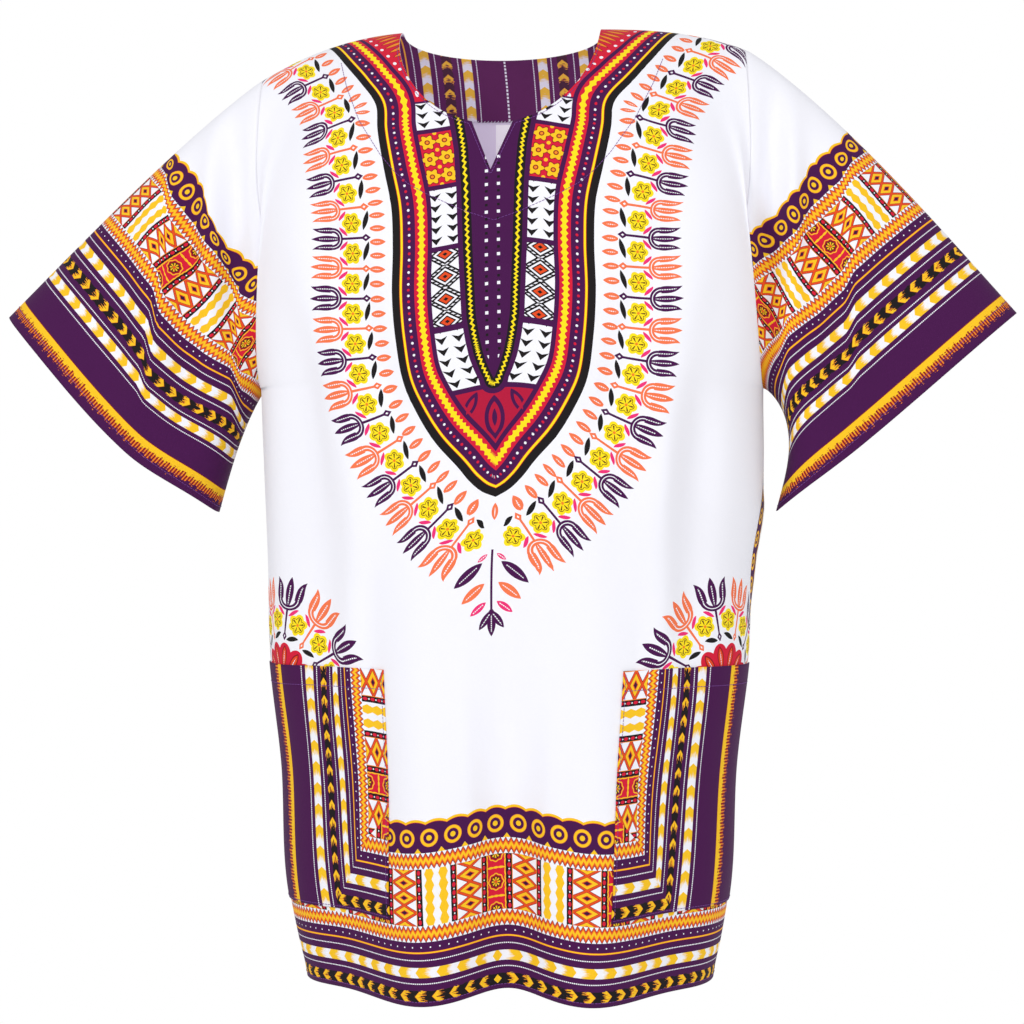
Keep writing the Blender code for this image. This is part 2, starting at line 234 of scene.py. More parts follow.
def surface_normals(points):
    """The outward direction at each point of a grid whose columns run across and rows run up."""
    over = np.gradient(points, axis=1)
    rise = np.gradient(points, axis=0)
    normal = np.cross(over, rise)
    return normal / np.maximum(np.linalg.norm(normal, axis=-1, keepdims=True), 1e-9)


def lengths_along(points, axis):
    """Distance along the cloth from the first point of each row or column."""
    steps = np.linalg.norm(np.diff(points, axis=axis), axis=-1)
    start = np.zeros_like(np.take(steps, [0], axis=axis))
    return np.concatenate([start, np.cumsum(steps, axis=axis)], axis=axis)


# %% [markdown]
# ## Sheets of cloth
#
# Every panel starts as a flat grid. Its points move to their places on the shirt, and a UV map keeps
# where each point lay on the flat cloth, in metres, which is what the print needs. Solidify gives the
# sheet its thickness.

# %% Building a sheet from a grid
Sheet = namedtuple("Sheet", "points print_u print_v")
WELD_DISTANCE = 0.00002


def sheet_mesh(name, sheet, maps=None, zones=None, closed=False):
    """A mesh of a sheet's points. maps are further pairs of lengths, each kept in a UV map of its
    name, and zones gives each face its material slot."""
    rows, columns = sheet.points.shape[0] - 1, sheet.points.shape[1] - 1
    lengths = {"Print": (sheet.print_u, sheet.print_v), **(maps or {})}
    mesh = bpy.data.meshes.new(name)
    cloth = bmesh.new()
    bmesh.ops.create_grid(cloth, x_segments=columns, y_segments=rows, size=1.0)
    layers = {key: cloth.loops.layers.uv.new(key) for key in lengths}
    place = {}
    for vertex in cloth.verts:
        column = round((vertex.co.x + 1.0) / 2.0 * columns)
        row = round((vertex.co.y + 1.0) / 2.0 * rows)
        place[vertex] = (row, column)
    for face in cloth.faces:
        face.smooth = True
        spots = [place[loop.vert] for loop in face.loops]
        for key, (first, second) in lengths.items():
            for loop, spot in zip(face.loops, spots):
                loop[layers[key]].uv = (first[spot], second[spot])
        if zones is not None:
            face.material_index = int(zones[min(spots)])
    for vertex, spot in place.items():
        vertex.co = sheet.points[spot]
    if closed:
        bmesh.ops.remove_doubles(cloth, verts=cloth.verts, dist=WELD_DISTANCE)
    cloth.to_mesh(mesh)
    cloth.free()
    return mesh


def add_object(name, data):
    made = bpy.data.objects.new(name, data)
    bpy.context.scene.collection.objects.link(made)
    return made


def add_piece(name, mesh, materials):
    """Adds a piece of the shirt, which rides on the frame's one body."""
    piece = add_object(name, mesh)
    for material in materials:
        mesh.materials.append(material)
    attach(piece, "root")
    return piece


def thicken(piece, thickness):
    """Gives a sheet its thickness inwards. Its wrong side takes the last material."""
    wall = piece.modifiers.new("cloth_thickness", "SOLIDIFY")
    wall.thickness = thickness
    wall.offset = -1.0
    wall.material_offset = len(piece.data.materials)


# %% The front and back as grids of points
FRONT_COLUMNS = 190
FRONT_ROWS = 250
BACK_COLUMNS = 150
BACK_ROWS = 200
ABOVE_SHARE = 0.46
Sag = namedtuple("Sag", "x width drop")
HEM_SAGS = {
    -1: [Sag(-0.058, 0.042, 0.0050), Sag(0.088, 0.042, 0.0050), Sag(0.014, 0.030, -0.0060)],
    1: [Sag(-0.098, 0.040, 0.0040), Sag(0.080, 0.040, 0.0040), Sag(0.030, 0.030, -0.0030)],
}
SAG_FROM = -0.430
SAG_TO = -0.640
CREASES_TO_SIDE = 8.0


def body_cloth(face, across, up):
    """Points on the cloth with its creases, where the folds also let the cloth hang lower."""
    points = body_points(face, across, up)
    x, z = points[..., 0], points[..., 2]
    edge = np.minimum((1.0 - np.abs(across)) * CREASES_TO_SIDE, 1.0)
    points = points + surface_normals(points) * (crease_lift(CREASES[face], x, z) * edge)[..., None]
    hang = smooth((SAG_FROM - z) / (SAG_FROM - SAG_TO))
    for sag in HEM_SAGS[face]:
        points[..., 2] -= sag.drop * hang * np.exp(-(((x - sag.x) / sag.width) ** 2))
    return points


def body_sheet(face, columns, rows):
    across = np.linspace(-1.0, 1.0, columns + 1)
    up = np.linspace(0.0, 1.0, rows + 1)
    below = 1.0 - ABOVE_SHARE
    up = np.where(up <= below, up / below, 1.0 + (up - below) / ABOVE_SHARE)
    if face > 0:
        across = across[::-1]
    points = body_cloth(face, *np.meshgrid(across, up))
    over = lengths_along(points, 1)
    return Sheet(points, over - over[:, [columns // 2]], lengths_along(points, 0))


front_sheet = body_sheet(-1, FRONT_COLUMNS, FRONT_ROWS)
back_sheet = body_sheet(1, BACK_COLUMNS, BACK_ROWS)
print("front cloth", front_sheet.print_u.max().round(3), "to the side and",
      front_sheet.print_v.max().round(3), "up")

# %% [markdown]
# ## Where the print lies
#
# The neck panel's outline and the placket's are short tables of half widths. Each point of the
# cloth keeps its distance from the panel's edge and how far along that edge it lies, so that the
# bands and the ring of flowers can follow it. Then every face takes the material of its zone.

# %% The panel's edge, the placket's edge and the zones
Half = namedtuple("Half", "up half_width")
PRINT_MIDDLE = -0.0035
PANEL_EDGE = [
    Half(0.3883, 0.0000),
    Half(0.3935, 0.0100),
    Half(0.4020, 0.0190),
    Half(0.4170, 0.0300),
    Half(0.4415, 0.0490),
    Half(0.4655, 0.0628),
    Half(0.4870, 0.0725),
    Half(0.5230, 0.0788),
    Half(0.5580, 0.0812),
    Half(0.5980, 0.0803),
    Half(0.6300, 0.0815),
    Half(0.6650, 0.0883),
    Half(0.7000, 0.0945),
    Half(0.7220, 0.0965),
    Half(0.7450, 0.1110),
    Half(0.7700, 0.1290),
    Half(0.8300, 0.1700),
]
PLACKET_EDGE = [
    Half(0.4810, 0.0000),
    Half(0.4900, 0.0040),
    Half(0.5010, 0.0078),
    Half(0.5160, 0.0110),
    Half(0.5330, 0.0135),
    Half(0.5900, 0.0160),
    Half(0.6400, 0.0175),
    Half(0.6750, 0.0200),
    Half(0.7000, 0.0240),
    Half(0.7220, 0.0300),
    Half(0.8300, 0.0600),
]
RING_MIDDLE = [
    Half(0.3520, 0.0000),
    Half(0.3545, 0.0130),
    Half(0.3640, 0.0270),
    Half(0.3800, 0.0430),
    Half(0.4000, 0.0600),
    Half(0.4240, 0.0770),
    Half(0.4500, 0.0930),
    Half(0.4800, 0.1050),
    Half(0.5200, 0.1130),
    Half(0.5600, 0.1160),
    Half(0.6000, 0.1165),
    Half(0.6350, 0.1190),
    Half(0.6650, 0.1250),
    Half(0.6950, 0.1335),
    Half(0.7200, 0.1430),
    Half(0.7450, 0.1550),
    Half(0.7700, 0.1690),
    Half(0.8400, 0.2110),
]
EDGE_SAMPLES = 900
SPOTS_AT_ONCE = 4000


def follow_edge(rows, aside, up):
    """How far along a table's smooth edge each spot lies, how far from it, and the edge's points."""
    heights = np.array([row.up for row in rows])
    widths = np.array([row.half_width for row in rows])
    steps = np.concatenate([[0.0], np.cumsum(np.hypot(np.diff(heights), np.diff(widths)))])
    run = np.linspace(0.0, steps[-1], EDGE_SAMPLES)
    edge = np.stack([curve_through(steps, widths, run), curve_through(steps, heights, run)], axis=-1)
    length = np.concatenate([[0.0], np.cumsum(np.linalg.norm(np.diff(edge, axis=0), axis=1))])
    heading = np.gradient(edge, axis=0)
    heading /= np.linalg.norm(heading, axis=1, keepdims=True)

    along = np.zeros(up.size)
    apart = np.zeros(up.size)
    spots = np.stack([np.abs(aside).ravel(), up.ravel()], axis=-1)
    for start in range(0, len(spots), SPOTS_AT_ONCE):
        some = slice(start, start + SPOTS_AT_ONCE)
        gaps = np.linalg.norm(spots[some, None, :] - edge[None, :, :], axis=-1)
        nearest = gaps.argmin(axis=1)
        past = ((spots[some] - edge[nearest]) * heading[nearest]).sum(axis=1)
        along[some] = np.maximum(length[nearest] + past, 0.0)
        apart[some] = gaps.min(axis=1)
    along = along.reshape(up.shape) * np.where(aside < 0, -1.0, 1.0)
    return along, apart.reshape(up.shape), edge


def panel_maps(sheet):
    """Where each point lies by the panel's edge, by the middle of the ring and by the placket."""
    aside = sheet.print_u - PRINT_MIDDLE
    up = sheet.print_v
    along, out, edge = follow_edge(PANEL_EDGE, aside, up)
    width_here = np.interp(up, edge[:, 1], edge[:, 0], left=-1.0)
    out = np.where(np.abs(aside) < width_here, -out, out)
    along_ring, _, _ = follow_edge(RING_MIDDLE, aside, up)

    placket_up = np.array([row.up for row in PLACKET_EDGE])
    placket_width = np.array([row.half_width for row in PLACKET_EDGE])
    from_placket = np.abs(aside) - np.interp(up, placket_up, placket_width)
    below = np.maximum(placket_up[0] - up, 0.0)
    from_placket = np.where(below > 0.0, np.hypot(aside, below), from_placket)
    return {"Edge": (along, out), "Ring": (along_ring, from_placket)}


def cell_values(values):
    """The mean of each grid cell's four corners."""
    return (values[:-1, :-1] + values[1:, :-1] + values[:-1, 1:] + values[1:, 1:]) / 4.0


GROUND, RING, PANEL, HEM, CORNER = range(5)
RING_WIDTH = 0.075
RING_BOTTOM = 0.265
RING_POINT_HALF_WIDTH = 0.100
PENDANT_HALF_WIDTH = 0.060
PENDANT_TOP = 0.420
PANEL_MARGIN = 0.003
HEM_TOP = 0.152
CornerZone = namedtuple("CornerZone", "aside bottom top")
CORNERS = {-1: CornerZone(0.100, 0.152, 0.345), 1: CornerZone(0.236, 0.0, 0.900)}


def body_zones(face, sheet, maps):
    """The material slot of every face. The corners are flowers in front and a side border behind."""
    out = cell_values(maps["Edge"][1])
    aside = np.abs(cell_values(sheet.print_u))
    up = cell_values(sheet.print_v)
    corner = CORNERS[face]
    zones = np.full(out.shape, GROUND)
    zones[(out < RING_WIDTH) | ((aside < PENDANT_HALF_WIDTH) & (up < PENDANT_TOP))] = RING
    zones[out < PANEL_MARGIN] = PANEL
    zones[(up < RING_BOTTOM) & (aside < RING_POINT_HALF_WIDTH)] = GROUND
    zones[up < HEM_TOP] = HEM
    zones[(up > corner.bottom) & (up < corner.top) & (aside > corner.aside)] = CORNER
    return zones


# %% [markdown]
# ## Inks and the small maths of printing
#
# The print is drawn by the materials, from the place of each point on the flat cloth in
# millimetres. `Ink` wraps one socket of a material, so that shapes are written as plain sums, and
# `Layers` lays one colour over another wherever a shape covers the cloth.

# %% A value in a material, and layers of colour
class Ink:
    """One value in a material's nodes. Operators on it add Math nodes."""

    def __init__(self, tree, socket):
        self.tree = tree
        self.socket = socket

    def node(self, kind, settings, inputs, output=0):
        """Adds a node, sets it, feeds its inputs and gives back one of its outputs."""
        made = self.tree.nodes.new(kind)
        for name, value in settings.items():
            setattr(made, name, value)
        for key, value in inputs.items():
            if isinstance(value, Ink):
                self.tree.links.new(value.socket, made.inputs[key])
            else:
                made.inputs[key].default_value = value
        return Ink(self.tree, made.outputs[output])

    def math(self, operation, *others):
        return self.node("ShaderNodeMath", {"operation": operation}, dict(enumerate((self, *others))))

    def __add__(self, other):
        return self.math("ADD", other)

    __radd__ = __add__

    def __sub__(self, other):
        return self.math("SUBTRACT", other)

    def __rsub__(self, other):
        return self.node("ShaderNodeMath", {"operation": "SUBTRACT"}, {0: other, 1: self})

    def __mul__(self, other):
        return self.math("MULTIPLY", other)

    __rmul__ = __mul__

    def __truediv__(self, other):
        return self.math("DIVIDE", other)

    def __lt__(self, other):
        return self.math("LESS_THAN", other)

    def __gt__(self, other):
        return self.math("GREATER_THAN", other)

    def __and__(self, other):
        return self.math("MINIMUM", other)

    def __or__(self, other):
        return self.math("MAXIMUM", other)

    def __abs__(self):
        return self.math("ABSOLUTE")

    def near(self, middle, reach):
        """1 where the value is within reach of middle."""
        return self.math("COMPARE", middle, reach)

    def repeat(self, period, start=0.0):
        """The value's distance from the nearest repeat, negative before it and positive after."""
        shifted = self - start if start else self
        return shifted.math("WRAP", period / 2, -period / 2)

    def fold(self, period, start=0.0):
        """The plain distance from the nearest repeat, so that a motif is the same both ways."""
        shifted = self - start if start else self
        return shifted.math("PINGPONG", period / 2)

    def distance(self, other):
        """The length of the step (self, other)."""
        step = self.node("ShaderNodeCombineXYZ", {}, {0: self, 1: other})
        return step.node("ShaderNodeVectorMath", {"operation": "LENGTH"}, {0: step}, output=1)

    def leaf(self, other, half_length, half_width):
        """1 inside a pointed leaf whose tips lie half_length away along self."""
        radius = (half_length**2 + half_width**2) / (2.0 * half_width)
        return (abs(other) + (radius - half_width)).distance(self) < radius

    def where(self, mask, other):
        """self, or other where the mask is 1."""
        return self.node("ShaderNodeMix", {"data_type": "FLOAT"}, {0: mask, 2: self, 3: other})


def ink_colour(red, green, blue):
    """A colour as it looks on a screen, 0 to 255, as Blender's light values."""
    linear = [((value / 255 + 0.055) / 1.055) ** 2.4 for value in (red, green, blue)]
    return (*linear, 1.0)


class Layers:
    """Colour on the cloth. Each shape that is laid covers what was there."""

    def __init__(self, ink, ground):
        self.ink = ink
        self.colour = ground

    def lay(self, mask, colour):
        if isinstance(colour, Layers):
            colour = colour.colour
        inputs = {0: mask, 6: self.colour, 7: colour}
        self.colour = self.ink.node("ShaderNodeMix", {"data_type": "RGBA"}, inputs, output=2)

    def under(self, level, *steps):
        """Lays each step's colour where the level is under its limit, and gives back the layers."""
        for limit, colour in steps:
            self.lay(level < limit, colour)
        return self

    def over(self, level, *steps):
        """Lays each step's colour where the level is over its limit."""
        for limit, colour in steps:
            self.lay(level > limit, colour)


WHITE = ink_colour(247, 247, 254)
PURPLE = ink_colour(72, 18, 76)
DARK_PURPLE = ink_colour(56, 18, 58)
YELLOW = ink_colour(253, 200, 36)
BRIGHT_YELLOW = ink_colour(255, 228, 30)
ORANGE = ink_colour(244, 140, 40)
ORANGE_RED = ink_colour(232, 78, 34)
CORAL = ink_colour(248, 122, 78)
VIOLET = ink_colour(142, 78, 182)
CRIMSON = ink_colour(216, 28, 58)
GARNET = ink_colour(182, 24, 60)
DARK_RED = ink_colour(140, 22, 34)
PINK = ink_colour(240, 50, 120)
BLACK = ink_colour(28, 24, 26)
BROWN = ink_colour(96, 52, 24)
print("one ink:", [round(value, 3) for value in PURPLE])


# %% [markdown]
# ## Motifs
#
# Every motif is a common one: zigzags, beads, diamonds, daisies, rings, arrows, leaves, tulips and
# small blossoms. Each is drawn round its own middle by a few distances, so a repeat along the cloth
# is only a matter of folding the length back on itself.

# %% Zigzags, diamonds, daisies and bead columns
ZIGZAG_STEP = 4.3
ZIGZAG_SLOPE = 1.75
ZIGZAG_MIDDLE = 4.4
DASH_STEP = 1.7
BEAD_STEP = 6.4
DAISY_EDGE = 8.0
DAISY_PETALS = 8.0
WAVE_STEP, WAVE_ASIDE = 9.0, 5.6


def draw_zigzag(ink, along, down):
    """A sawtooth ribbon: white teeth edged black at both sides, red, orange and yellow between."""
    level = abs(down - along.fold(ZIGZAG_STEP) * ZIGZAG_SLOPE - ZIGZAG_MIDDLE)
    return Layers(ink, WHITE).under(level, (4.9, BLACK), (4.1, ORANGE_RED), (2.3, ORANGE), (1.5, YELLOW))


def draw_diamonds(ink, across, down, half_width, period):
    """A column of diamonds on white whose crossing outlines run to the column's edges."""
    lattice = across / half_width + down.fold(period) / (period / 2)
    column = Layers(ink, WHITE)
    column.lay(lattice.near(1.0, 0.24), DARK_RED)
    column.lay(lattice.near(1.0, 0.15), ORANGE_RED)
    return column.under(lattice, (0.80, YELLOW), (0.40, ORANGE_RED), (0.27, DARK_PURPLE))


def draw_daisies(ink, across, down, period):
    """Crimson squares with a wavy yellow ring and a daisy of eight petals."""
    step = down.repeat(period)
    reach = across.distance(step)
    turn = step.math("ARCTAN2", across)
    wave = (turn * DAISY_PETALS).math("COSINE")
    ring = reach - wave * 0.35
    square = Layers(ink, CRIMSON)
    edge = (across | (abs(step) - (period / 2 - DAISY_EDGE))) + abs(wave) * 0.45
    square.lay(edge.near(DAISY_EDGE, 0.45), YELLOW)
    square.lay(ring.near(6.2, 0.42), YELLOW)
    square.lay(ring.near(4.6, 0.6), DARK_RED)
    square.lay(reach < 4.1, BLACK)
    square.lay((reach < 3.6) & (wave > -0.2), YELLOW)
    square.lay(reach < 1.1, ORANGE_RED)
    return square


def draw_beads(ink, across, down):
    """A black column with crimson beads and white dots between them."""
    column = Layers(ink, BLACK)
    column.lay(across.distance(down.repeat(BEAD_STEP) * 0.7) < 1.35, CRIMSON)
    column.lay(across.distance(down.repeat(BEAD_STEP, BEAD_STEP / 2)) < 0.62, WHITE)
    return column


def draw_waves(ink, across, down):
    """White with two yellow bands whose edges bulge in step."""
    bulge = down.fold(WAVE_STEP) * 0.42
    return Layers(ink, WHITE).under(abs(across - WAVE_ASIDE) + bulge, (3.9, YELLOW))


# %% Woven stripes: the shaded yellow band and the arrows
SHADED_STEP = 17.0
ARROW_STEP = 14.0


def draw_shaded_band(ink, along, down, streaks):
    """Yellow arrow shapes that fade into white along the yarns, as ikat does."""
    step = (along + abs(down) * 0.75).repeat(SHADED_STEP)
    ragged = step + streaks * 7.0
    band = Layers(ink, WHITE)
    band.lay(ink.node("ShaderNodeMapRange", {}, {0: ragged, 1: -7.0, 2: -3.0, 3: 0.0, 4: 1.0}), YELLOW)
    band.lay(step > 4.2, WHITE)
    return band


def draw_arrows(ink, along, down, streaks):
    """Yellow arrow heads on black, with long ragged tails, between purple slits."""
    step = (along + abs(down) * 0.95).repeat(ARROW_STEP)
    ragged = step + streaks * 12.0
    band = Layers(ink, BLACK)
    band.lay((step < 3.2) & (ragged > -2.2), ORANGE)
    band.lay((step < 2.8) & (ragged > -1.0), YELLOW)
    band.lay(abs(down) > 4.3 - streaks * 3.0, PURPLE)
    return band


# %% [markdown]
# ## The border
#
# The border is one list of bands, measured down from its scalloped top edge. The hem, both sleeves,
# the pockets and the neck facing are all cut from it, so one function draws it, and each piece
# says how far down it goes.

# %% The border's bands
HEM_BORDER = 143.0
FULL_BORDER = 204.0
SCALLOP = 17.0
SCALLOP_RISE = 2.2
RING_STEP = 19.0
RING_ROW, RING_RADIUS = 12.4, 5.8
ZIGZAG_TOP, ZIGZAGS_APART = 24.0, 56.5
BLOCK_REPEAT = 105.0
BLOCK_ROW, BLOCK_REACH = 58.5, 22.0
DIAMOND_AT, DIAMOND_HALF_WIDTH, DIAMOND_STEP = 24.75, 11.2, 11.6
BEADS_AT = 13.75
STRIPES_TOP = 93.0
DOT_ROW, DOTS_APART = 97.0, 7.4
GOLD_LINE = 101.2
DOTTED_ROWS = (107.0, 125.2, 144.5, 160.0)
SHADED_ROWS = (116.6, 152.0)
ARROW_ROW = 135.0
CUFF_LINE = 185.0
COMB_STEP = 7.4
TOOTH_STEP = 2.6


def draw_blocks(ink, along, down):
    """Columns between the two zigzags, mirrored about the middle of each crimson one."""
    across = along.fold(BLOCK_REPEAT)
    from_diamond = abs(across - DIAMOND_AT)
    diamonds = draw_diamonds(ink, from_diamond, down, DIAMOND_HALF_WIDTH, DIAMOND_STEP)
    blocks = Layers(ink, WHITE)
    blocks.lay(across < 9.0, draw_daisies(ink, across, down, 22.5))
    blocks.lay(from_diamond < 11.7, diamonds)
    blocks.lay(across > 41.0, draw_waves(ink, BLOCK_REPEAT / 2 - across, down))
    blocks.lay(from_diamond.near(BEADS_AT, 2.6), draw_beads(ink, from_diamond - BEADS_AT, down))
    blocks.lay(from_diamond.near(11.3, 0.3), ORANGE)
    return blocks


def draw_border(layers, along, down, streaks, last):
    """Lays the border's bands over the layers, to the depth given by last, in millimetres."""
    ink = layers.ink
    from_peak = along.fold(SCALLOP) / (SCALLOP / 2)
    top = down - from_peak * from_peak * SCALLOP_RISE + SCALLOP_RISE
    layers.over(top, (0.0, YELLOW), (1.9, ORANGE_RED), (2.3, PURPLE))
    ring = along.repeat(RING_STEP).distance(down - RING_ROW)
    layers.lay(ring.near(RING_RADIUS, 1.35), ORANGE)
    layers.lay(ring.near(RING_RADIUS, 0.95), YELLOW)
    layers.lay(ring < 2.1, YELLOW)
    peak = along.fold(RING_STEP, RING_STEP / 2) * 1.25 + 20.3
    layers.lay((down > peak) & (down < ZIGZAG_TOP + 0.5), YELLOW)

    from_zigzag = (down - ZIGZAG_TOP).math("MODULO", ZIGZAGS_APART)
    layers.lay(down > ZIGZAG_TOP, draw_zigzag(ink, along, from_zigzag))
    layers.lay(down.near(BLOCK_ROW, BLOCK_REACH), draw_blocks(ink, along, down - BLOCK_ROW))
    layers.lay(down > STRIPES_TOP, PURPLE)
    layers.lay(along.repeat(DOTS_APART).distance(down - DOT_ROW) < 0.6, WHITE)
    layers.lay(down.near(GOLD_LINE, 0.8), ORANGE_RED)
    layers.lay(down.near(GOLD_LINE, 0.5), YELLOW)
    rows = down.near(DOTTED_ROWS[0], 0.42)
    for row in DOTTED_ROWS[1:]:
        if row < last:
            rows = rows | down.near(row, 0.42)
    layers.lay(rows & (along.fold(DASH_STEP) > 0.22), WHITE)
    pointing = abs(along)
    first, second = SHADED_ROWS
    layers.lay(down.near(first, 4.0), draw_shaded_band(ink, pointing, down - first, streaks))
    layers.lay(down.near(ARROW_ROW, 4.8), draw_arrows(ink, pointing, down - ARROW_ROW, streaks))
    if last > second:
        layers.lay(down.near(second, 4.0), draw_shaded_band(ink, pointing + 6.0, down - second, streaks))
        layers.over(down, (CUFF_LINE - 0.6, DARK_RED), (CUFF_LINE, YELLOW))
        comb = along.fold(COMB_STEP) * 0.45 + streaks * 6.0
        below = down - CUFF_LINE
        layers.lay(below > comb + 5.5, ORANGE)
        layers.lay((below > comb + 4.5) & (along.fold(TOOTH_STEP) > 0.55), DARK_RED)
        layers.lay(below > comb * 1.5 + 9.6, PURPLE)


# %% [markdown]
# ## Sprigs
#
# The ring of flowers follows the neck panel's edge. Two lengths place its motifs: how far along that
# edge, and how far out from it.

# %% Tulips, blossoms and seeds in the ring
SPRIG_STEP = 24.5
FIRST_TULIP = 29.0
TULIP_ROW, TULIP_STEM = 43.5, 24.0
BLOSSOM_ROW = 35.0
BUD_SLIMNESS = 1.35
SEED_STEP, SEED_ROW = 11.5, 12.2


def draw_tulip(layers, across, up, colour):
    """A cup of three petals on a stem with a bud at its foot. across is the distance from the stem,
    and up runs from the foot of the cup to the petals' tips at 27 mm."""
    round_cup = across.distance(up - 9.5)
    bend = (up - 15.0) * 0.11
    petal = across - 7.2 - bend * bend * bend
    cup = round_cup.near(7.2, 2.1) & (up < 9.8)
    petals = (up - 13.0).leaf(petal, 13.5, 2.7) & (up > 9.4)
    middle = (up - 14.0).leaf(across, 13.5, 2.7)
    upright = (across < 0.95) & up.near(2.0 - TULIP_STEM / 2, TULIP_STEM / 2)
    layers.lay(cup | petals | middle | upright, colour)
    dashes = up.fold(1.9) > 0.3
    curved = round_cup.near(7.2, 0.34) & (up < 9.5)
    straight = (abs(petal) < 0.36) & up.near(15.5, 6.0) & dashes
    layers.lay(curved | straight | ((across < 0.34) & up.near(13.0, 8.0) & dashes), WHITE)
    bud = across * BUD_SLIMNESS + abs(up + (TULIP_STEM - 3.0))
    layers.under(bud, (4.2, colour), (1.3, WHITE))


def draw_bloom(layers, across, up, colour):
    """A small filled tulip of three pointed petals that spread from one foot."""
    aslant = abs(across * 0.80 - up * 0.60)
    run = across * 0.60 + up * 0.80
    layers.lay((up - 9.0).leaf(across, 10.5, 3.4) | (run - 7.5).leaf(aslant, 9.0, 3.1), colour)
    veins = ((across < 0.36) & up.near(9.0, 7.0)) | ((aslant < 0.36) & run.near(8.0, 5.5))
    layers.lay(veins & (up.fold(DASH_STEP) > 0.25), WHITE)
    layers.lay(across * BUD_SLIMNESS + abs(up) < 3.2, colour)


def draw_blossom(layers, across, up):
    """A round yellow blossom of six lobes with brown lines."""
    turn = up.math("ARCTAN2", across)
    reach = across.distance(up)
    lobes = abs((turn * 3.0).math("SINE"))
    layers.lay(reach < 7.1 + lobes * 2.0, BRIGHT_YELLOW)
    layers.lay((reach - lobes * 1.9).near(4.5, 0.30), BROWN)
    layers.lay((lobes > 0.93) & reach.near(3.6, 1.9), BROWN)
    layers.lay(reach < 1.2, ORANGE)


def draw_seeds(layers, along, out):
    """A row of slim coral seeds that point at the panel's edge."""
    from_seed = along.fold(SEED_STEP)
    past = out - SEED_ROW
    layers.lay(past.leaf(from_seed - past * 0.07, 7.0, 2.7), CORAL)
    layers.lay((past - 1.0).leaf(from_seed, 3.8, 0.4) & (out.fold(DASH_STEP) > 0.25), WHITE)


def draw_sprigs(layers, along, out):
    """Leaves, blossoms and tulips in turn, with a coral tulip where along is 0."""
    past = along | (-SPRIG_STEP / 2)
    from_tulip = past.fold(SPRIG_STEP)
    tulip = Layers(layers.ink, PURPLE)
    tulip.lay(past.fold(SPRIG_STEP * 2, SPRIG_STEP) > SPRIG_STEP / 2, CORAL)
    draw_tulip(layers, from_tulip, out - TULIP_ROW, tulip.colour)

    across = along.repeat(SPRIG_STEP, SPRIG_STEP / 2)
    draw_blossom(layers, across, out - BLOSSOM_ROW)
    layers.lay((across - 1.5).leaf(out - 22.8 + across * 0.3, 7.6, 2.2), BLACK)
    pink_along = from_tulip - 5.8
    layers.lay((pink_along * 1.3).leaf(out - 43.0 - pink_along * 0.9, 5.0, 2.0), PINK)


PairedLeaf = namedtuple("PairedLeaf", "aside up half_length half_width colour")
PENDANT_LEAVES = [
    PairedLeaf(7.4, 341.0, 4.6, 1.7, PINK),
    PairedLeaf(18.5, 329.5, 13.5, 4.6, PURPLE),
    PairedLeaf(14.5, 314.5, 11.0, 4.0, CORAL),
    PairedLeaf(10.5, 301.5, 7.6, 2.9, PINK),
]
PENDANT_STEM = (322.0, 25.0)
PENDANT_BLOOM = 298.0
MIDDLE_SEED = 377.0


def draw_middle_seed(layers, aside, up):
    """One seed under the panel's point, in place of what the two edges would draw there."""
    apart = abs(aside)
    layers.lay((up < 384.0) & (apart < 13.0), WHITE)
    layers.lay((up - MIDDLE_SEED).leaf(apart, 6.8, 2.6), CORAL)
    layers.lay((up - (MIDDLE_SEED - 0.5)).leaf(apart, 4.0, 0.4), WHITE)


def draw_pendant(layers, aside, up):
    """The sprig that hangs under the panel's point: paired leaves on a stem, and a bloom below."""
    apart = abs(aside)
    layers.lay((up < 342.0) & (apart < 22.0), WHITE)
    layers.lay((up < 369.0) & (apart < 2.0), WHITE)
    for leaf in PENDANT_LEAVES:
        x = apart - leaf.aside
        y = leaf.up - up
        run = x * 0.82 + y * 0.57
        off = x * 0.57 - y * 0.82
        layers.lay(run.leaf(off, leaf.half_length, leaf.half_width), leaf.colour)
        vein = run.near(0.0, leaf.half_length * 0.65) & (abs(off) < 0.38)
        layers.lay(vein & (run.fold(DASH_STEP) > 0.25), WHITE)
    layers.lay((apart < 0.9) & up.near(*PENDANT_STEM), PURPLE)
    draw_bloom(layers, apart, PENDANT_BLOOM - up, PURPLE)


# %% [markdown]
# ## The neck panel
#
# Its bands follow its outer edge inwards, and others follow the slim dark placket in the middle.
# Blocks of chevrons, blossoms and diamonds fill the column between them.

# %% The neck panel's bands
BlockRow = namedtuple("BlockRow", "bottom top kind")
NECK_BLOCKS = [
    BlockRow(696.0, 722.0, "chevrons"),
    BlockRow(645.0, 692.0, "blossoms"),
    BlockRow(594.0, 641.0, "chevrons"),
    BlockRow(530.0, 590.0, "diamonds"),
    BlockRow(478.0, 525.0, "chevrons"),
]
FLAME_FROM = 724.0
BLOCK_COLUMN = 6.9
CHEVRON_STEP, CHEVRON_START = 9.0, 3.6
BLOSSOM_STEP, BLOSSOM_START, BLOSSOM_DOT_START = 15.4, 7.9, 0.2
DOTTED_DIAMOND_STEP, DOTTED_DIAMOND_START, DOTTED_DIAMOND_WIDTH = 18.0, 3.0, 13.0


def draw_chevrons(ink, across, up):
    """Two columns of thick black chevrons on white, with tapered arms."""
    from_column = abs(abs(across) - BLOCK_COLUMN)
    point = (up - from_column * 0.8).repeat(CHEVRON_STEP, CHEVRON_START)
    return Layers(ink, WHITE).under(abs(point) + from_column * 0.45, (2.35, BLACK))


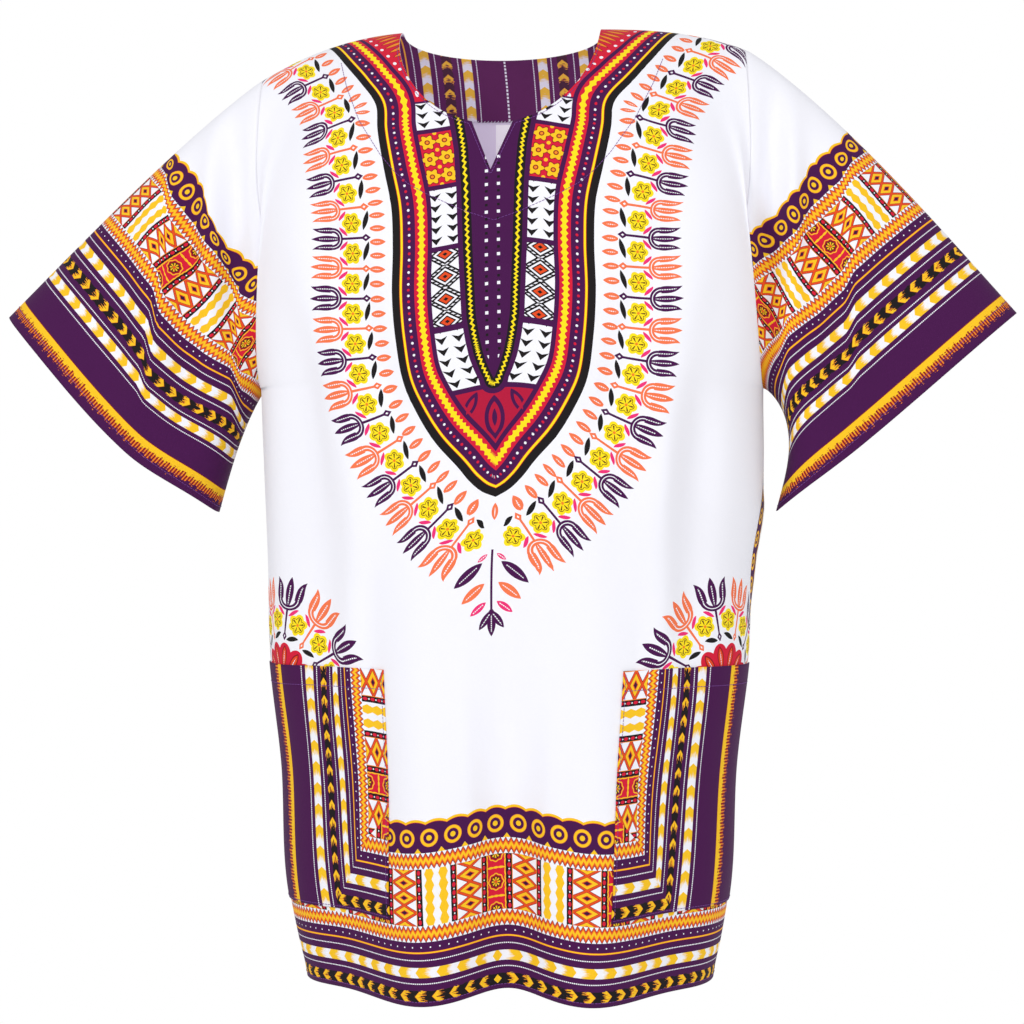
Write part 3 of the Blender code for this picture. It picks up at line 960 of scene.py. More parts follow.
def draw_blossoms(ink, across, up):
    """Yellow six-petalled blossoms on crimson, in two columns."""
    from_column = abs(across) - BLOCK_COLUMN
    step = up.repeat(BLOSSOM_STEP, BLOSSOM_START)
    turn = step.math("ARCTAN2", from_column)
    reach = from_column.distance(step)
    block = Layers(ink, CRIMSON)
    block.under(reach - (turn * 6.0).math("COSINE") * 1.1, (6.6, DARK_RED), (5.7, YELLOW))
    block.under(reach, (2.2, DARK_RED), (1.3, ORANGE))
    from_dot = abs(across).distance(up.repeat(BLOSSOM_STEP, BLOSSOM_DOT_START))
    return block.under(from_dot, (1.6, YELLOW))


def draw_dotted_diamonds(ink, across, up):
    """Orange diamonds in black outlines that carry white dots."""
    step = up.fold(DOTTED_DIAMOND_STEP, DOTTED_DIAMOND_START)
    lattice = abs(across) / DOTTED_DIAMOND_WIDTH + step / (DOTTED_DIAMOND_STEP / 2)
    block = Layers(ink, WHITE)
    block.lay(lattice.near(1.0, 0.26), BLACK)
    block.lay(lattice.near(1.0, 0.07) & (up.fold(2.4) > 0.5), WHITE)
    return block.under(lattice, (0.55, BLACK), (0.42, ORANGE_RED), (0.16, BLACK))


# %% The neck panel as a whole
DOT_BAND, DOT_STEP = 13.6, 9.8
WAVY_BAND = 23.6
COLUMN_EDGE = 32.2
PLACKET_BAND = 11.4
POINT_TOP = 474.0
POINT_LINES = (421.5, 427.5)
DROP_MIDDLE = 451.0
SQUARE_COLUMN, SQUARE_STEP = 4.8, 11.6


def draw_neck_panel(layers, along, inward, aside, up, from_placket):
    """inward runs from the panel's edge, from_placket out from the placket's edge."""
    ink = layers.ink
    edge = [(0.0, BLACK), (6.2, ORANGE_RED), (6.6, BRIGHT_YELLOW), (8.2, ORANGE_RED), (8.6, PURPLE)]
    layers.over(inward, *edge)
    from_dots = inward - DOT_BAND
    layers.lay(along.repeat(DOT_STEP).distance(from_dots) < 1.05, WHITE)
    layers.lay(along.repeat(DOT_STEP, DOT_STEP / 2).distance(from_dots) < 1.15, CRIMSON)
    layers.lay(inward > 18.4, CRIMSON)
    wavy = abs(inward - WAVY_BAND) + along.fold(5.0) * 0.9 < 3.2
    layers.lay(inward.near(WAVY_BAND, 1.5) | wavy, BRIGHT_YELLOW)
    layers.lay(inward > 28.6, PURPLE)

    across = (from_placket - inward + 20.7) / 2.0
    column = (inward > COLUMN_EDGE) & (from_placket > PLACKET_BAND)
    draw = {"chevrons": draw_chevrons, "blossoms": draw_blossoms, "diamonds": draw_dotted_diamonds}
    for row in NECK_BLOCKS:
        middle = (row.bottom + row.top) / 2
        block = draw[row.kind](ink, across, up - row.bottom)
        layers.lay(column & up.near(middle, (row.top - row.bottom) / 2), block)

    flame = (inward > COLUMN_EDGE) & (up > FLAME_FROM)
    from_flame = along.fold(6.4)
    layers.lay(flame, CRIMSON)
    layers.lay(flame & (inward - 49.0).leaf(from_flame, 10.5, 2.2), DARK_RED)
    layers.lay(flame & (inward - 49.0).leaf(from_flame, 9.5, 1.5), ORANGE)
    layers.lay(flame & (along.repeat(9.6, 3.0).distance(inward - 35.6) < 1.5), WHITE)

    layers.lay((inward > COLUMN_EDGE) & (up < POINT_TOP) & (from_placket > -4.0), GARNET)
    apart = abs(aside)
    point = up - apart * 0.95
    for line in POINT_LINES:
        layers.lay((inward > 34.5) & point.near(line, 1.3), PURPLE)
    drop = up - DROP_MIDDLE
    within = inward > 34.0
    layers.lay(drop.leaf(apart, 17.5, 8.0) & within, PURPLE)
    layers.lay(drop.leaf(apart, 12.5, 4.8), GARNET)
    layers.lay(drop.leaf(apart, 7.0, 2.0), PURPLE)
    x = apart - 19.0
    y = up - 463.0
    leaf_along = x * 0.5 - y * 0.87
    leaf_across = x * 0.87 + y * 0.5
    layers.lay(leaf_along.leaf(leaf_across, 11.5, 4.6) & within, PURPLE)
    layers.lay(leaf_along.leaf(leaf_across, 7.0, 2.0), GARNET)

    layers.under(from_placket, (PLACKET_BAND, PURPLE), (7.4, BLACK))
    bead = along.fold(4.6) * 0.9
    layers.lay((from_placket - bead).near(2.7, 1.0), BRIGHT_YELLOW)
    layers.lay(from_placket < 0.0, PURPLE)
    from_square = abs(apart - SQUARE_COLUMN)
    kept_off = (from_placket > -2.5) * 9.0
    layers.lay((from_square | up.fold(SQUARE_STEP)) < 1.25 - kept_off, WHITE)
    layers.lay((from_square | up.fold(SQUARE_STEP, SQUARE_STEP / 2)) < 1.05 - kept_off, BLACK)


# %% [markdown]
# ## Cloth finishes
#
# All the printed pieces are the same plain-weave cotton. A fine bump gives the yarns and their
# slubs, and the inks take a little of the cloth's unevenness.

# %% Making a printed cloth
MIDDLE_MM = PRINT_MIDDLE * 1000.0
WEAVE_SCALE = 1.9
YARN_DRAWN_OUT = 0.22
WORN_TONE = (0.75, 0.75, 0.80, 1.0)
COTTON = {"Roughness": 0.82, "Specular IOR Level": 0.15, "Sheen Weight": 0.05, "Sheen Roughness": 0.5}


def new_material(name, values):
    """A material whose shader has these constants, and that shader's inputs."""
    material = bpy.data.materials.new(name)
    material.use_nodes = True
    inputs = material.node_tree.nodes["Principled BSDF"].inputs
    for key, value in values.items():
        inputs[key].default_value = value
    return material, inputs


def new_cloth(name):
    """A cotton material, and the ink that adds nodes to it."""
    material, inputs = new_material(name, COTTON)
    return material, Ink(material.node_tree, inputs["Base Color"])


def read_map(ink, name):
    """Both lengths of a UV map, in millimetres."""
    uv = ink.node("ShaderNodeUVMap", {"uv_map": name}, {})
    spread = ink.node("ShaderNodeVectorMath", {"operation": "SCALE"}, {0: uv, "Scale": 1000.0})
    first = ink.node("ShaderNodeSeparateXYZ", {}, {0: spread}, output=0)
    return first, Ink(ink.tree, first.socket.node.outputs[1])


def new_print(name, ground=WHITE):
    """A cotton material with its ground, and the place on the flat cloth."""
    material, ink = new_cloth(name)
    return material, Layers(ink, ground), *read_map(ink, "Print")


def cloth_noise(ink, along, up, scale, detail):
    place = ink.node("ShaderNodeCombineXYZ", {}, {0: along, 1: up})
    settings = {"noise_dimensions": "2D"}
    return ink.node("ShaderNodeTexNoise", settings, {0: place, "Scale": scale, "Detail": detail})


def yarn_streaks(ink, along, across):
    """Noise drawn out along the yarns, from -0.5 to 0.5."""
    return cloth_noise(ink, along * 0.2, across * 1.15, 1.0, 1.0) - 0.5


def blend(layers, kind, share, colour):
    """Blends one colour over all that is laid so far."""
    settings = {"data_type": "RGBA", "blend_type": kind}
    inputs = {0: share, 6: layers.colour, 7: colour}
    layers.colour = layers.ink.node("ShaderNodeMix", settings, inputs, output=2)


def finish_cloth(layers, u, v):
    """Adds the weave and links the colour."""
    ink = layers.ink
    inputs = ink.tree.nodes["Principled BSDF"].inputs
    warp = cloth_noise(ink, u, v * YARN_DRAWN_OUT, WEAVE_SCALE, 2.0)
    weft = cloth_noise(ink, u * YARN_DRAWN_OUT, v, WEAVE_SCALE, 2.0)
    height = warp + weft
    bump = ink.node("ShaderNodeBump", {}, {"Strength": 0.22, "Distance": 0.0004, "Height": height})
    ink.tree.links.new(bump.socket, inputs["Normal"])
    blend(layers, "MULTIPLY", height * 0.10, WORN_TONE)
    ink.tree.links.new(layers.colour.socket, inputs["Base Color"])


# %% The white ground and the wrong side
white_ground, layers, u, v = new_print("white_ground")
finish_cloth(layers, u, v)

wrong_side, layers, u, v = new_print("wrong_side", ink_colour(222, 212, 230))
finish_cloth(layers, u, v)
# The wrong side's faint emission is painted light: it lifts the inside, which lies in shade, so that it is
# never quite dark.
painted_glow = wrong_side.node_tree.nodes["Principled BSDF"].inputs
painted_glow["Emission Color"].default_value = ink_colour(236, 228, 242)
painted_glow["Emission Strength"].default_value = 0.14

# %% Borders of the hem and the sleeves
hem_border, layers, u, v = new_print("hem_border")
draw_border(layers, u, HEM_BORDER - v, yarn_streaks(layers.ink, u, v), HEM_BORDER)
layers.lay(abs(u) + abs(v - 8.0) < 3.4, YELLOW)
finish_cloth(layers, u, v)

sleeve_border, layers, u, v = new_print("sleeve_border")
draw_border(layers, u, FULL_BORDER - v, yarn_streaks(layers.ink, u, v), FULL_BORDER)
finish_cloth(layers, u, v)

# %% The ring of flowers and the neck panel
flower_ring, layers, u, v = new_print("flower_ring")
along_edge, out = read_map(layers.ink, "Edge")
along_ring, _ = read_map(layers.ink, "Ring")
aside = u - MIDDLE_MM
draw_seeds(layers, along_edge, out)
draw_middle_seed(layers, aside, v)
draw_sprigs(layers, abs(along_ring) - FIRST_TULIP, out)
draw_pendant(layers, aside, v)
finish_cloth(layers, u, v)

neck_panel, layers, u, v = new_print("neck_panel")
along, out = read_map(layers.ink, "Edge")
_, from_placket = read_map(layers.ink, "Ring")
draw_neck_panel(layers, along, -1.0 * out, u - MIDDLE_MM, v, from_placket)
finish_cloth(layers, u, v)
print("neck panel nodes", len(neck_panel.node_tree.nodes), "ring", len(flower_ring.node_tree.nodes),
      "sleeve", len(sleeve_border.node_tree.nodes))

# %% The corner flowers above the pockets
CORNER_ASIDE, CORNER_UP = 200.0, 240.0
CORNER_ROUND = 55.0


def draw_corner(layers, aside, up):
    """A crimson medallion near the side seam, with drops in it and sprigs fanned round it."""
    x = CORNER_ASIDE - aside
    y = up - CORNER_UP
    reach = x.distance(y)
    along = y.math("ARCTAN2", x) * CORNER_ROUND
    draw_sprigs(layers, along - 2.0, reach - 21.5)
    lobe = along.fold(SPRIG_STEP)
    layers.lay(reach < 40.5, WHITE)
    layers.lay(reach + lobe * lobe * 0.035 < 38.5, CRIMSON)
    drop, aslant = reach - 25.5, lobe * 0.5
    layers.lay(drop.leaf(aslant, 11.0, 3.6), DARK_RED)
    layers.lay(drop.leaf(aslant, 9.5, 2.6), ORANGE_RED)
    layers.lay(drop.leaf(aslant, 6.5, 0.45) & (reach.fold(1.9) > 0.3), WHITE)


corner_flowers, layers, u, v = new_print("corner_flowers")
draw_corner(layers, abs(u), v)
finish_cloth(layers, u, v)

# %% Border cloth that turns a corner, and the neck facing
POCKET_BORDER = 142.5
SIDE_BORDER_FROM = 241.0
FACING_BORDER = 184.0


def draw_turned_border(layers, u, v, from_side, from_bottom):
    """The border along the bottom, which turns up the side with a mitred corner."""
    sideways = from_side > from_bottom
    along = u.where(sideways, v)
    streaks = yarn_streaks(layers.ink, along, v.where(sideways, u))
    draw_border(layers, along, from_side | from_bottom, streaks, FULL_BORDER)


pocket_border, layers, u, v = new_print("pocket_border", PURPLE)
taken_in = layers.ink.node("ShaderNodeMapRange", {}, {0: u, 1: 21.5, 2: 63.0, 3: 59.0, 4: 80.0})
draw_turned_border(layers, u, v, u + taken_in, POCKET_BORDER - v)
finish_cloth(layers, u, v)

side_border, layers, u, v = new_print("side_border")
draw_turned_border(layers, u, v, abs(u) - SIDE_BORDER_FROM, HEM_BORDER - v)
finish_cloth(layers, u, v)

facing_border, layers, u, v = new_print("facing_border", PURPLE)
aside = abs(u - MIDDLE_MM)
draw_border(layers, v, FACING_BORDER - aside, yarn_streaks(layers.ink, u, v), FULL_BORDER)
layers.lay((aside < 0.8) & (v.fold(3.4) > 0.6), WHITE)
# Painted light: a screen blend lifts the facing's dark inks a little, because the facing lies in shade inside
# the neck.
blend(layers, "SCREEN", 1.0, (0.075, 0.018, 0.045, 1.0))
finish_cloth(layers, u, v)

# %% The blank label's woven satin
label_satin, ink = new_cloth("label_satin")
place = ink.node("ShaderNodeTexCoord", {}, {}, output=3)
ribs = ink.node("ShaderNodeTexWave", {"bands_direction": "Z"}, {0: place, "Scale": 380.0, "Distortion": 0.6})
tape = Layers(ink, ink_colour(244, 242, 244))
tape.lay(ribs * 0.25, ink_colour(214, 212, 218))
bump = ink.node("ShaderNodeBump", {}, {"Strength": 0.2, "Distance": 0.0001, "Height": ribs})
satin = label_satin.node_tree.nodes["Principled BSDF"].inputs
satin["Roughness"].default_value = 0.45
# The label's faint emission is painted light that lifts it where it lies in shade inside the neck.
satin["Emission Color"].default_value = ink_colour(244, 242, 244)
satin["Emission Strength"].default_value = 0.2
label_satin.node_tree.links.new(tape.colour.socket, satin["Base Color"])
label_satin.node_tree.links.new(bump.socket, satin["Normal"])

# %% [markdown]
# ## The neck opening
#
# The neck is cut as a tailor cuts it, through the front and the back with one outline each: half an
# ellipse, and at the front a short V below it.

# %% Cutting the neck
NECK_HALF_WIDTH = 0.0825
NECK_DEPTH = {-1: 0.0865, 1: 0.0165}
NOTCH_HALF_WIDTH = 0.0165
NOTCH_DEPTH = 0.125
NECK_STEPS = 48
CUTTER_TOP = 0.060
CUTTER_START = 0.020
CUTTER_REACH = 0.200


def neck_outline(face):
    """The neck's edge seen from the front, from the wearer's right to the left."""
    depth = NECK_DEPTH[face]
    outline = []
    for step in range(NECK_STEPS + 1):
        angle = math.pi * step / NECK_STEPS
        outline.append((-NECK_HALF_WIDTH * math.cos(angle), -depth * math.sin(angle)))
    if face > 0:
        return outline
    lip = -depth * math.sqrt(1.0 - (NOTCH_HALF_WIDTH / NECK_HALF_WIDTH) ** 2)
    right = [spot for spot in outline if spot[0] < -NOTCH_HALF_WIDTH]
    left = [spot for spot in outline if spot[0] > NOTCH_HALF_WIDTH]
    return [*right, (-NOTCH_HALF_WIDTH, lip), (0.0, -NOTCH_DEPTH), (NOTCH_HALF_WIDTH, lip), *left]


def cut_neck(piece, face):
    """Cuts the opening with a prism of its outline, which is then taken away."""
    mesh = bpy.data.meshes.new("neck_cutter")
    prism = bmesh.new()
    outline = [(-NECK_HALF_WIDTH, CUTTER_TOP), *neck_outline(face), (NECK_HALF_WIDTH, CUTTER_TOP)]
    ring = [prism.verts.new((x, -face * CUTTER_START, z)) for x, z in outline]
    start = prism.faces.new(ring)
    grown = bmesh.ops.extrude_face_region(prism, geom=[start])
    moved = [item for item in grown["geom"] if isinstance(item, bmesh.types.BMVert)]
    bmesh.ops.translate(prism, verts=moved, vec=(0.0, face * CUTTER_REACH, 0.0))
    bmesh.ops.recalc_face_normals(prism, faces=prism.faces)
    prism.to_mesh(mesh)
    prism.free()
    cutter = add_object("neck_cutter", mesh)
    cut = piece.modifiers.new("neck_opening", "BOOLEAN")
    cut.operation = "DIFFERENCE"
    cut.solver = "EXACT"
    cut.object = cutter
    graph = bpy.context.evaluated_depsgraph_get()
    finished = bpy.data.meshes.new_from_object(piece.evaluated_get(graph), depsgraph=graph)
    piece.modifiers.clear()
    piece.data = finished
    bpy.data.objects.remove(cutter, do_unlink=True)


# %% Front and back
bodies = {}
for face, name, sheet in ((-1, "front", front_sheet), (1, "back", back_sheet)):
    corner = corner_flowers if face < 0 else side_border
    materials = [white_ground, flower_ring, neck_panel, hem_border, corner, wrong_side]
    maps = panel_maps(sheet)
    mesh = sheet_mesh(name + "_cloth", sheet, maps, body_zones(face, sheet, maps))
    piece = add_piece(name + "_cloth", mesh, materials)
    thicken(piece, CLOTH)
    cut_neck(piece, face)
    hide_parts(name + "_panel")
    bodies[face] = piece
    print(name, "faces", len(piece.data.polygons))

# %% [markdown]
# ## Sleeves
#
# Each sleeve is a straight tube of cloth that is set into the armhole and slopes down to a wide
# cuff. Its rings start on the armhole's curve and end on a flattened ellipse at right angles to
# the arm. Upright folds cross it where it hangs from the shoulder.

# %% Sizes of the sleeves
Cuff = namedtuple("Cuff", "tip_out tip_down under_out under_down half_depth top_bow under_bow")
CUFFS = {
    -1: Cuff(0.4165, 0.2326, 0.2385, 0.3970, 0.055, 0.006, 0.005),
    1: Cuff(0.4220, 0.2345, 0.2262, 0.3960, 0.046, 0.010, 0.017),
}
SleeveFold = namedtuple("SleeveFold", "side face x width top bottom depth")
SLEEVE_FOLDS = [
    SleeveFold(-1, -1, 0.287, 0.016, -0.130, -0.320, 0.009),
    SleeveFold(-1, -1, 0.255, 0.013, -0.120, -0.330, -0.009),
    SleeveFold(-1, -1, 0.219, 0.013, -0.060, -0.270, -0.013),
    SleeveFold(-1, -1, 0.240, 0.009, -0.070, -0.210, 0.006),
    SleeveFold(-1, 1, 0.280, 0.018, -0.120, -0.310, 0.008),
    SleeveFold(-1, 1, 0.320, 0.014, -0.150, -0.320, -0.006),
    SleeveFold(1, -1, 0.290, 0.016, -0.120, -0.310, 0.008),
    SleeveFold(1, -1, 0.256, 0.012, -0.110, -0.320, -0.008),
    SleeveFold(1, -1, 0.220, 0.012, -0.050, -0.260, -0.013),
    SleeveFold(1, -1, 0.240, 0.009, -0.060, -0.200, 0.006),
    SleeveFold(1, 1, 0.300, 0.018, -0.130, -0.320, 0.008),
    SleeveFold(1, 1, 0.265, 0.014, -0.120, -0.300, -0.006),
]
Slip = namedtuple("Slip", "side x_top z_top x_end z_end width reach amount")
SLEEVE_SLIPS = [
    Slip(-1, 0.276, -0.200, 0.298, -0.336, 0.010, 0.070, 0.0095),
    Slip(-1, 0.240, -0.150, 0.218, -0.210, 0.010, 0.060, 0.0125),
    Slip(1, 0.282, -0.170, 0.290, -0.320, 0.012, 0.070, 0.0060),
    Slip(1, 0.250, -0.150, 0.232, -0.230, 0.010, 0.060, 0.0060),
]
SLIP_FROM_CUFF, SLIP_GROWS_OVER = 0.015, 0.060
CUFF_SAG = {-1: 0.0100, 1: 0.0030}
CUFF_SAG_AT = 0.66
CUFF_SAG_FROM = 0.35
BOW_POWER = 0.7
BOW_SLANT = 0.7
SLEEVE_FOLD_START = 0.11
SLEEVE_SEAM_GAP = 0.0001
SLEEVE_AROUND = 160
SLEEVE_ALONG = 96


# %% A sleeve as a grid of points
def print_slip(side, points, from_cuff):
    """How far the print slips towards the cuff where a fold has swallowed some cloth."""
    out, height = np.abs(points[..., 0]), points[..., 2]
    moved = np.zeros_like(height)
    for slip in SLEEVE_SLIPS:
        if slip.side != side:
            continue
        share = np.clip((slip.z_top - height) / (slip.z_top - slip.z_end), 0.0, 1.0)
        past = mix(slip.x_top, slip.x_end, share) - out
        step = smooth(past / slip.width + 0.5) * np.exp(-np.maximum(past, 0.0) / slip.reach)
        moved += slip.amount * step
    return moved * smooth((from_cuff - SLIP_FROM_CUFF) / SLIP_GROWS_OVER)


def sleeve_sheet(side):
    """Rows run from the cuff to the armhole, columns once round from the underarm."""
    share = np.linspace(-0.5, 0.5, SLEEVE_AROUND + 1)
    along = np.linspace(1.0, 0.0, SLEEVE_ALONG + 1)
    turn, along = np.meshgrid(share * 2.0 * math.pi * -side, along)
    around = np.mod(turn, 2.0 * math.pi)
    is_front = np.sin(turn) >= 0.0
    climb = np.abs(1.0 - around / math.pi)
    across = np.full_like(climb, float(side))
    seam = np.where(
        is_front[..., None],
        body_points(-1, across, 1.0 + climb),
        body_points(1, across, 1.0 + climb),
    )
    seam[..., 0] += side * SLEEVE_SEAM_GAP
    cuff = CUFFS[side]
    tip = np.array([side * cuff.tip_out, 0.0, -cuff.tip_down])
    under = np.array([side * cuff.under_out, 0.0, -cuff.under_down])
    level = np.cos(around)
    opening = (tip + under) / 2 + (tip - under) / 2 * level[..., None]
    opening[..., 1] = -cuff.half_depth * np.sin(around)
    points = mix(seam, opening, along[..., None])
    bow = np.sin(math.pi * along**BOW_POWER)
    outward = np.array([side * BOW_SLANT, 0.0, BOW_SLANT])
    points += outward * (cuff.top_bow * bow * np.maximum(level, 0.0))[..., None]
    points[..., 0] += side * cuff.under_bow * bow * np.maximum(-level, 0.0)
    fade = np.abs(np.sin(around)) * smooth(along / SLEEVE_FOLD_START)
    face = np.where(is_front, -1.0, 1.0)
    for fold in SLEEVE_FOLDS:
        if fold.side != side:
            continue
        middle_height = (fold.top + fold.bottom) / 2
        half_height = (fold.top - fold.bottom) / 2
        upright = np.exp(-(((points[..., 2] - middle_height) / half_height) ** 4))
        spread = np.exp(-(((np.abs(points[..., 0]) - fold.x) / fold.width) ** 2))
        points[..., 1] += np.where(face == fold.face, face * fold.depth * upright * spread * fade, 0.0)
    down_cuff = (1.0 - level) / 2.0
    sag = np.where(down_cuff < CUFF_SAG_AT, down_cuff / CUFF_SAG_AT, (1.0 - down_cuff) / (1.0 - CUFF_SAG_AT))
    slope = (under - tip) / np.linalg.norm(under - tip)
    down_arm = side * np.array([-slope[2], 0.0, slope[0]])
    growth = smooth((along - CUFF_SAG_FROM) / (1.0 - CUFF_SAG_FROM))
    points += down_arm * (CUFF_SAG[side] * smooth(sag) * growth)[..., None]
    middle = SLEEVE_AROUND // 2
    over = lengths_along(points, 1)
    print_u = over - over[:, [middle]]
    print_v = lengths_along(points, 0) + print_slip(side, points, lengths_along(points, 0))
    return Sheet(points, print_u, print_v)


sleeves = {}
for side, name in ((-1, "right"), (1, "left")):
    sheet = sleeve_sheet(side)
    mesh = sheet_mesh("sleeve_cloth_" + name, sheet, closed=True)
    sleeve = add_piece("sleeve_cloth_" + name, mesh, [sleeve_border, wrong_side])
    thicken(sleeve, CLOTH)
    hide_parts("sleeve_" + name)
    sleeves[side] = (sleeve, sheet)
    print(name, "sleeve round", (sheet.print_u[0, -1] - sheet.print_u[0, 0]).round(3), "long",
          lengths_along(sheet.points, 0)[-1, SLEEVE_AROUND // 2].round(3), "at the armhole",
          (sheet.print_u[-1, -1] - sheet.print_u[-1, 0]).round(3))

# %% [markdown]
# ## Pockets and the neck facing
#
# Both are cut from the border cloth and lie on a panel, so each takes its points from that panel's
# own function, moved out or in by the two cloths' thickness.

# %% Patch pockets
Patch = namedtuple("Patch", "inner outer bottom top")
POCKETS = {
    -1: Patch(0.300, 0.9912, 0.1333, 0.5333),
    1: Patch(0.335, 0.9917, 0.1333, 0.5333),
}
POCKET_COLUMNS = 90
POCKET_ROWS = 100
LAY_GAP = 0.0004

pockets = {}
for side, name in ((-1, "right"), (1, "left")):
    patch = POCKETS[side]
    across = side * np.linspace(patch.inner, patch.outer, POCKET_COLUMNS + 1)
    if side < 0:
        across = across[::-1]
    up = np.linspace(patch.bottom, patch.top, POCKET_ROWS + 1)
    points = body_cloth(-1, *np.meshgrid(across, up))
    points = points + surface_normals(points) * (LAY_GAP + CLOTH)
    over = lengths_along(points, 1)
    from_inner = over if side > 0 else over[:, [-1]] - over
    sheet = Sheet(points, from_inner, lengths_along(points, 0))
    mesh = sheet_mesh("pocket_cloth_" + name, sheet)
    pocket = add_piece("pocket_cloth_" + name, mesh, [pocket_border, wrong_side])
    thicken(pocket, CLOTH)
    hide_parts("pocket_" + name)
    pockets[side] = (pocket, sheet)
    print(name, "pocket", from_inner.max().round(3), "wide", sheet.print_v.max().round(3), "high")

# %% Facing inside the back of the neck
FACING_ACROSS = 0.625
FACING_BOTTOM = 1.5714
FACING_TOP = 1.985
FACING_COLUMNS = 100
FACING_ROWS = 60
FRAME_WALL = 0.0013
across = np.linspace(FACING_ACROSS, -FACING_ACROSS, FACING_COLUMNS + 1)
up = np.linspace(FACING_BOTTOM, FACING_TOP, FACING_ROWS + 1)
points = body_cloth(1, *np.meshgrid(across, up))
points = points - surface_normals(points) * (FRAME_WALL + LAY_GAP)
over = lengths_along(points, 1)
facing_sheet = Sheet(points, over[:, [FACING_COLUMNS // 2]] - over, lengths_along(points, 0))
facing_mesh = sheet_mesh("facing_cloth", facing_sheet)
facing = add_piece("facing_cloth", facing_mesh, [facing_border])
thicken(facing, CLOTH)
cut_neck(facing, 1)
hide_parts("back_neck_facing")
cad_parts["care_label"].data.materials.clear()
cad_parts["care_label"].data.materials.append(label_satin)
print("facing", np.ptp(facing_sheet.print_u[0]).round(3), "wide", facing_sheet.print_v.max().round(3), "high")

# %% [markdown]
# ## Stitching
#
# The hems, the cuffs, the pockets, the neck's edge and the hidden front facing are held by machine
# stitches in violet thread. Each stitch is a short piece of thread that lies on the cloth. A line of
# them follows the cloth's own points, or a path that is cast onto the front, so it is always on the
# cloth. The facing's lower edge inside the neck is oversewn in white.

# %% One line of stitches
STITCH_LENGTH = 0.0021
STITCH_STEP = 0.0029
THREAD_RADIUS = 0.00026
THREAD_SIDES = 5
THREAD_PROUD = 0.4


def sew(threads, points, outward, slant=0.0, length=STITCH_LENGTH):
    """Adds stitches along a path on the cloth. slant turns each of them about the cloth's normal."""
    run = np.concatenate([[0.0], np.cumsum(np.linalg.norm(np.diff(points, axis=0), axis=1))])
    for start in np.arange(STITCH_STEP / 2, run[-1] - STITCH_STEP, STITCH_STEP):
        ends = np.array([start, start + STITCH_LENGTH])
        first, last = np.stack([np.interp(ends, run, points[:, axis]) for axis in range(3)], axis=1)
        normal = Vector([np.interp(start, run, outward[:, axis]) for axis in range(3)]).normalized()
        heading = Vector(last - first).normalized()
        heading.rotate(Quaternion(normal, slant))
        side = heading.cross(normal).normalized()
        normal = side.cross(heading)
        turned = Matrix((side, normal, heading)).transposed().to_4x4()
        middle = Vector((first + last) / 2) + normal * THREAD_RADIUS * THREAD_PROUD
        bmesh.ops.create_cone(
            threads,
            cap_ends=True,
            segments=THREAD_SIDES,
            radius1=THREAD_RADIUS,
            radius2=THREAD_RADIUS,
            depth=length,
            matrix=Matrix.Translation(middle) @ turned,
        )


def sew_row(threads, points, row, **how):
    """A line of stitches along one row of a sheet's points."""
    sew(threads, points[row], surface_normals(points)[row], **how)


def sew_column(threads, points, column, rows):
    sew(threads, points[rows, column], surface_normals(points)[rows, column])


def row_at(sheet, height):
    """The row of a sheet that lies nearest to a height on the flat cloth."""
    return int(np.abs(sheet.print_v[:, sheet.print_v.shape[1] // 2] - height).argmin())


# %% Violet stitches: hems, cuffs, pockets, neck and the line of the hidden facing
HEM_STITCH = 0.0036
CUFF_STITCH = 0.012
POCKET_HEM_STITCH = 0.018
FACING_LINE = [
    (-0.1301, -0.0270),
    (-0.1225, -0.0507),
    (-0.1090, -0.0817),
    (-0.0897, -0.1111),
    (-0.0776, -0.1255),
    (-0.0657, -0.1361),
    (-0.0484, -0.1458),
    (-0.0195, -0.1590),
    (0.0038, -0.1666),
]
FACING_MIDDLE = 0.0025
NECK_STITCH = 0.0022
NECK_STITCH_TURN, NECK_STITCH_STEPS = 0.16, 16
NOTCH_TIP_STITCH = 0.0050
OVERSEW_SLANT, OVERSEW_LENGTH = 0.9, 0.0034
PATH_STEPS = 12

violet_threads = bmesh.new()
for sheet in (front_sheet, back_sheet):
    sew_row(violet_threads, sheet.points, row_at(sheet, HEM_STITCH))
for _, sheet in sleeves.values():
    sew_row(violet_threads, sheet.points, row_at(sheet, CUFF_STITCH))
for side, (_, sheet) in pockets.items():
    sew_row(violet_threads, sheet.points, row_at(sheet, sheet.print_v.max() - POCKET_HEM_STITCH))
    sew_row(violet_threads, sheet.points, 1)
    sew_column(violet_threads, sheet.points, 1 if side > 0 else -2, slice(1, None))

front_cloth = BVHTree.FromObject(bodies[-1], bpy.context.evaluated_depsgraph_get())


def sew_front(threads, path):
    """Sews along a path that is given as it is seen from the front."""
    path = np.array(path)
    share = np.linspace(0.0, len(path) - 1.0, PATH_STEPS * len(path))
    line_x = np.interp(share, range(len(path)), path[:, 0])
    line_z = np.interp(share, range(len(path)), path[:, 1])
    hits = [front_cloth.ray_cast((x, -0.5, z), (0.0, 1.0, 0.0)) for x, z in zip(line_x, line_z)]
    hits = [hit for hit in hits if hit[0] is not None and hit[0].y < 0.0]
    sew(threads, np.array([hit[0] for hit in hits]), np.array([hit[1] for hit in hits]))


other_half = [(2 * FACING_MIDDLE - x, z) for x, z in FACING_LINE[-2::-1]]
sew_front(violet_threads, FACING_LINE + other_half)

wide, deep = NECK_HALF_WIDTH + NECK_STITCH, NECK_DEPTH[-1] + NECK_STITCH
lip = NOTCH_HALF_WIDTH + NECK_STITCH
turns = np.linspace(NECK_STITCH_TURN, math.acos(lip / wide), NECK_STITCH_STEPS)
right_edge = [(-wide * math.cos(turn), -deep * math.sin(turn)) for turn in turns]
left_edge = [(-x, z) for x, z in reversed(right_edge)]
sew_front(violet_threads, [*right_edge, (0.0, -NOTCH_DEPTH - NOTCH_TIP_STITCH), *left_edge])

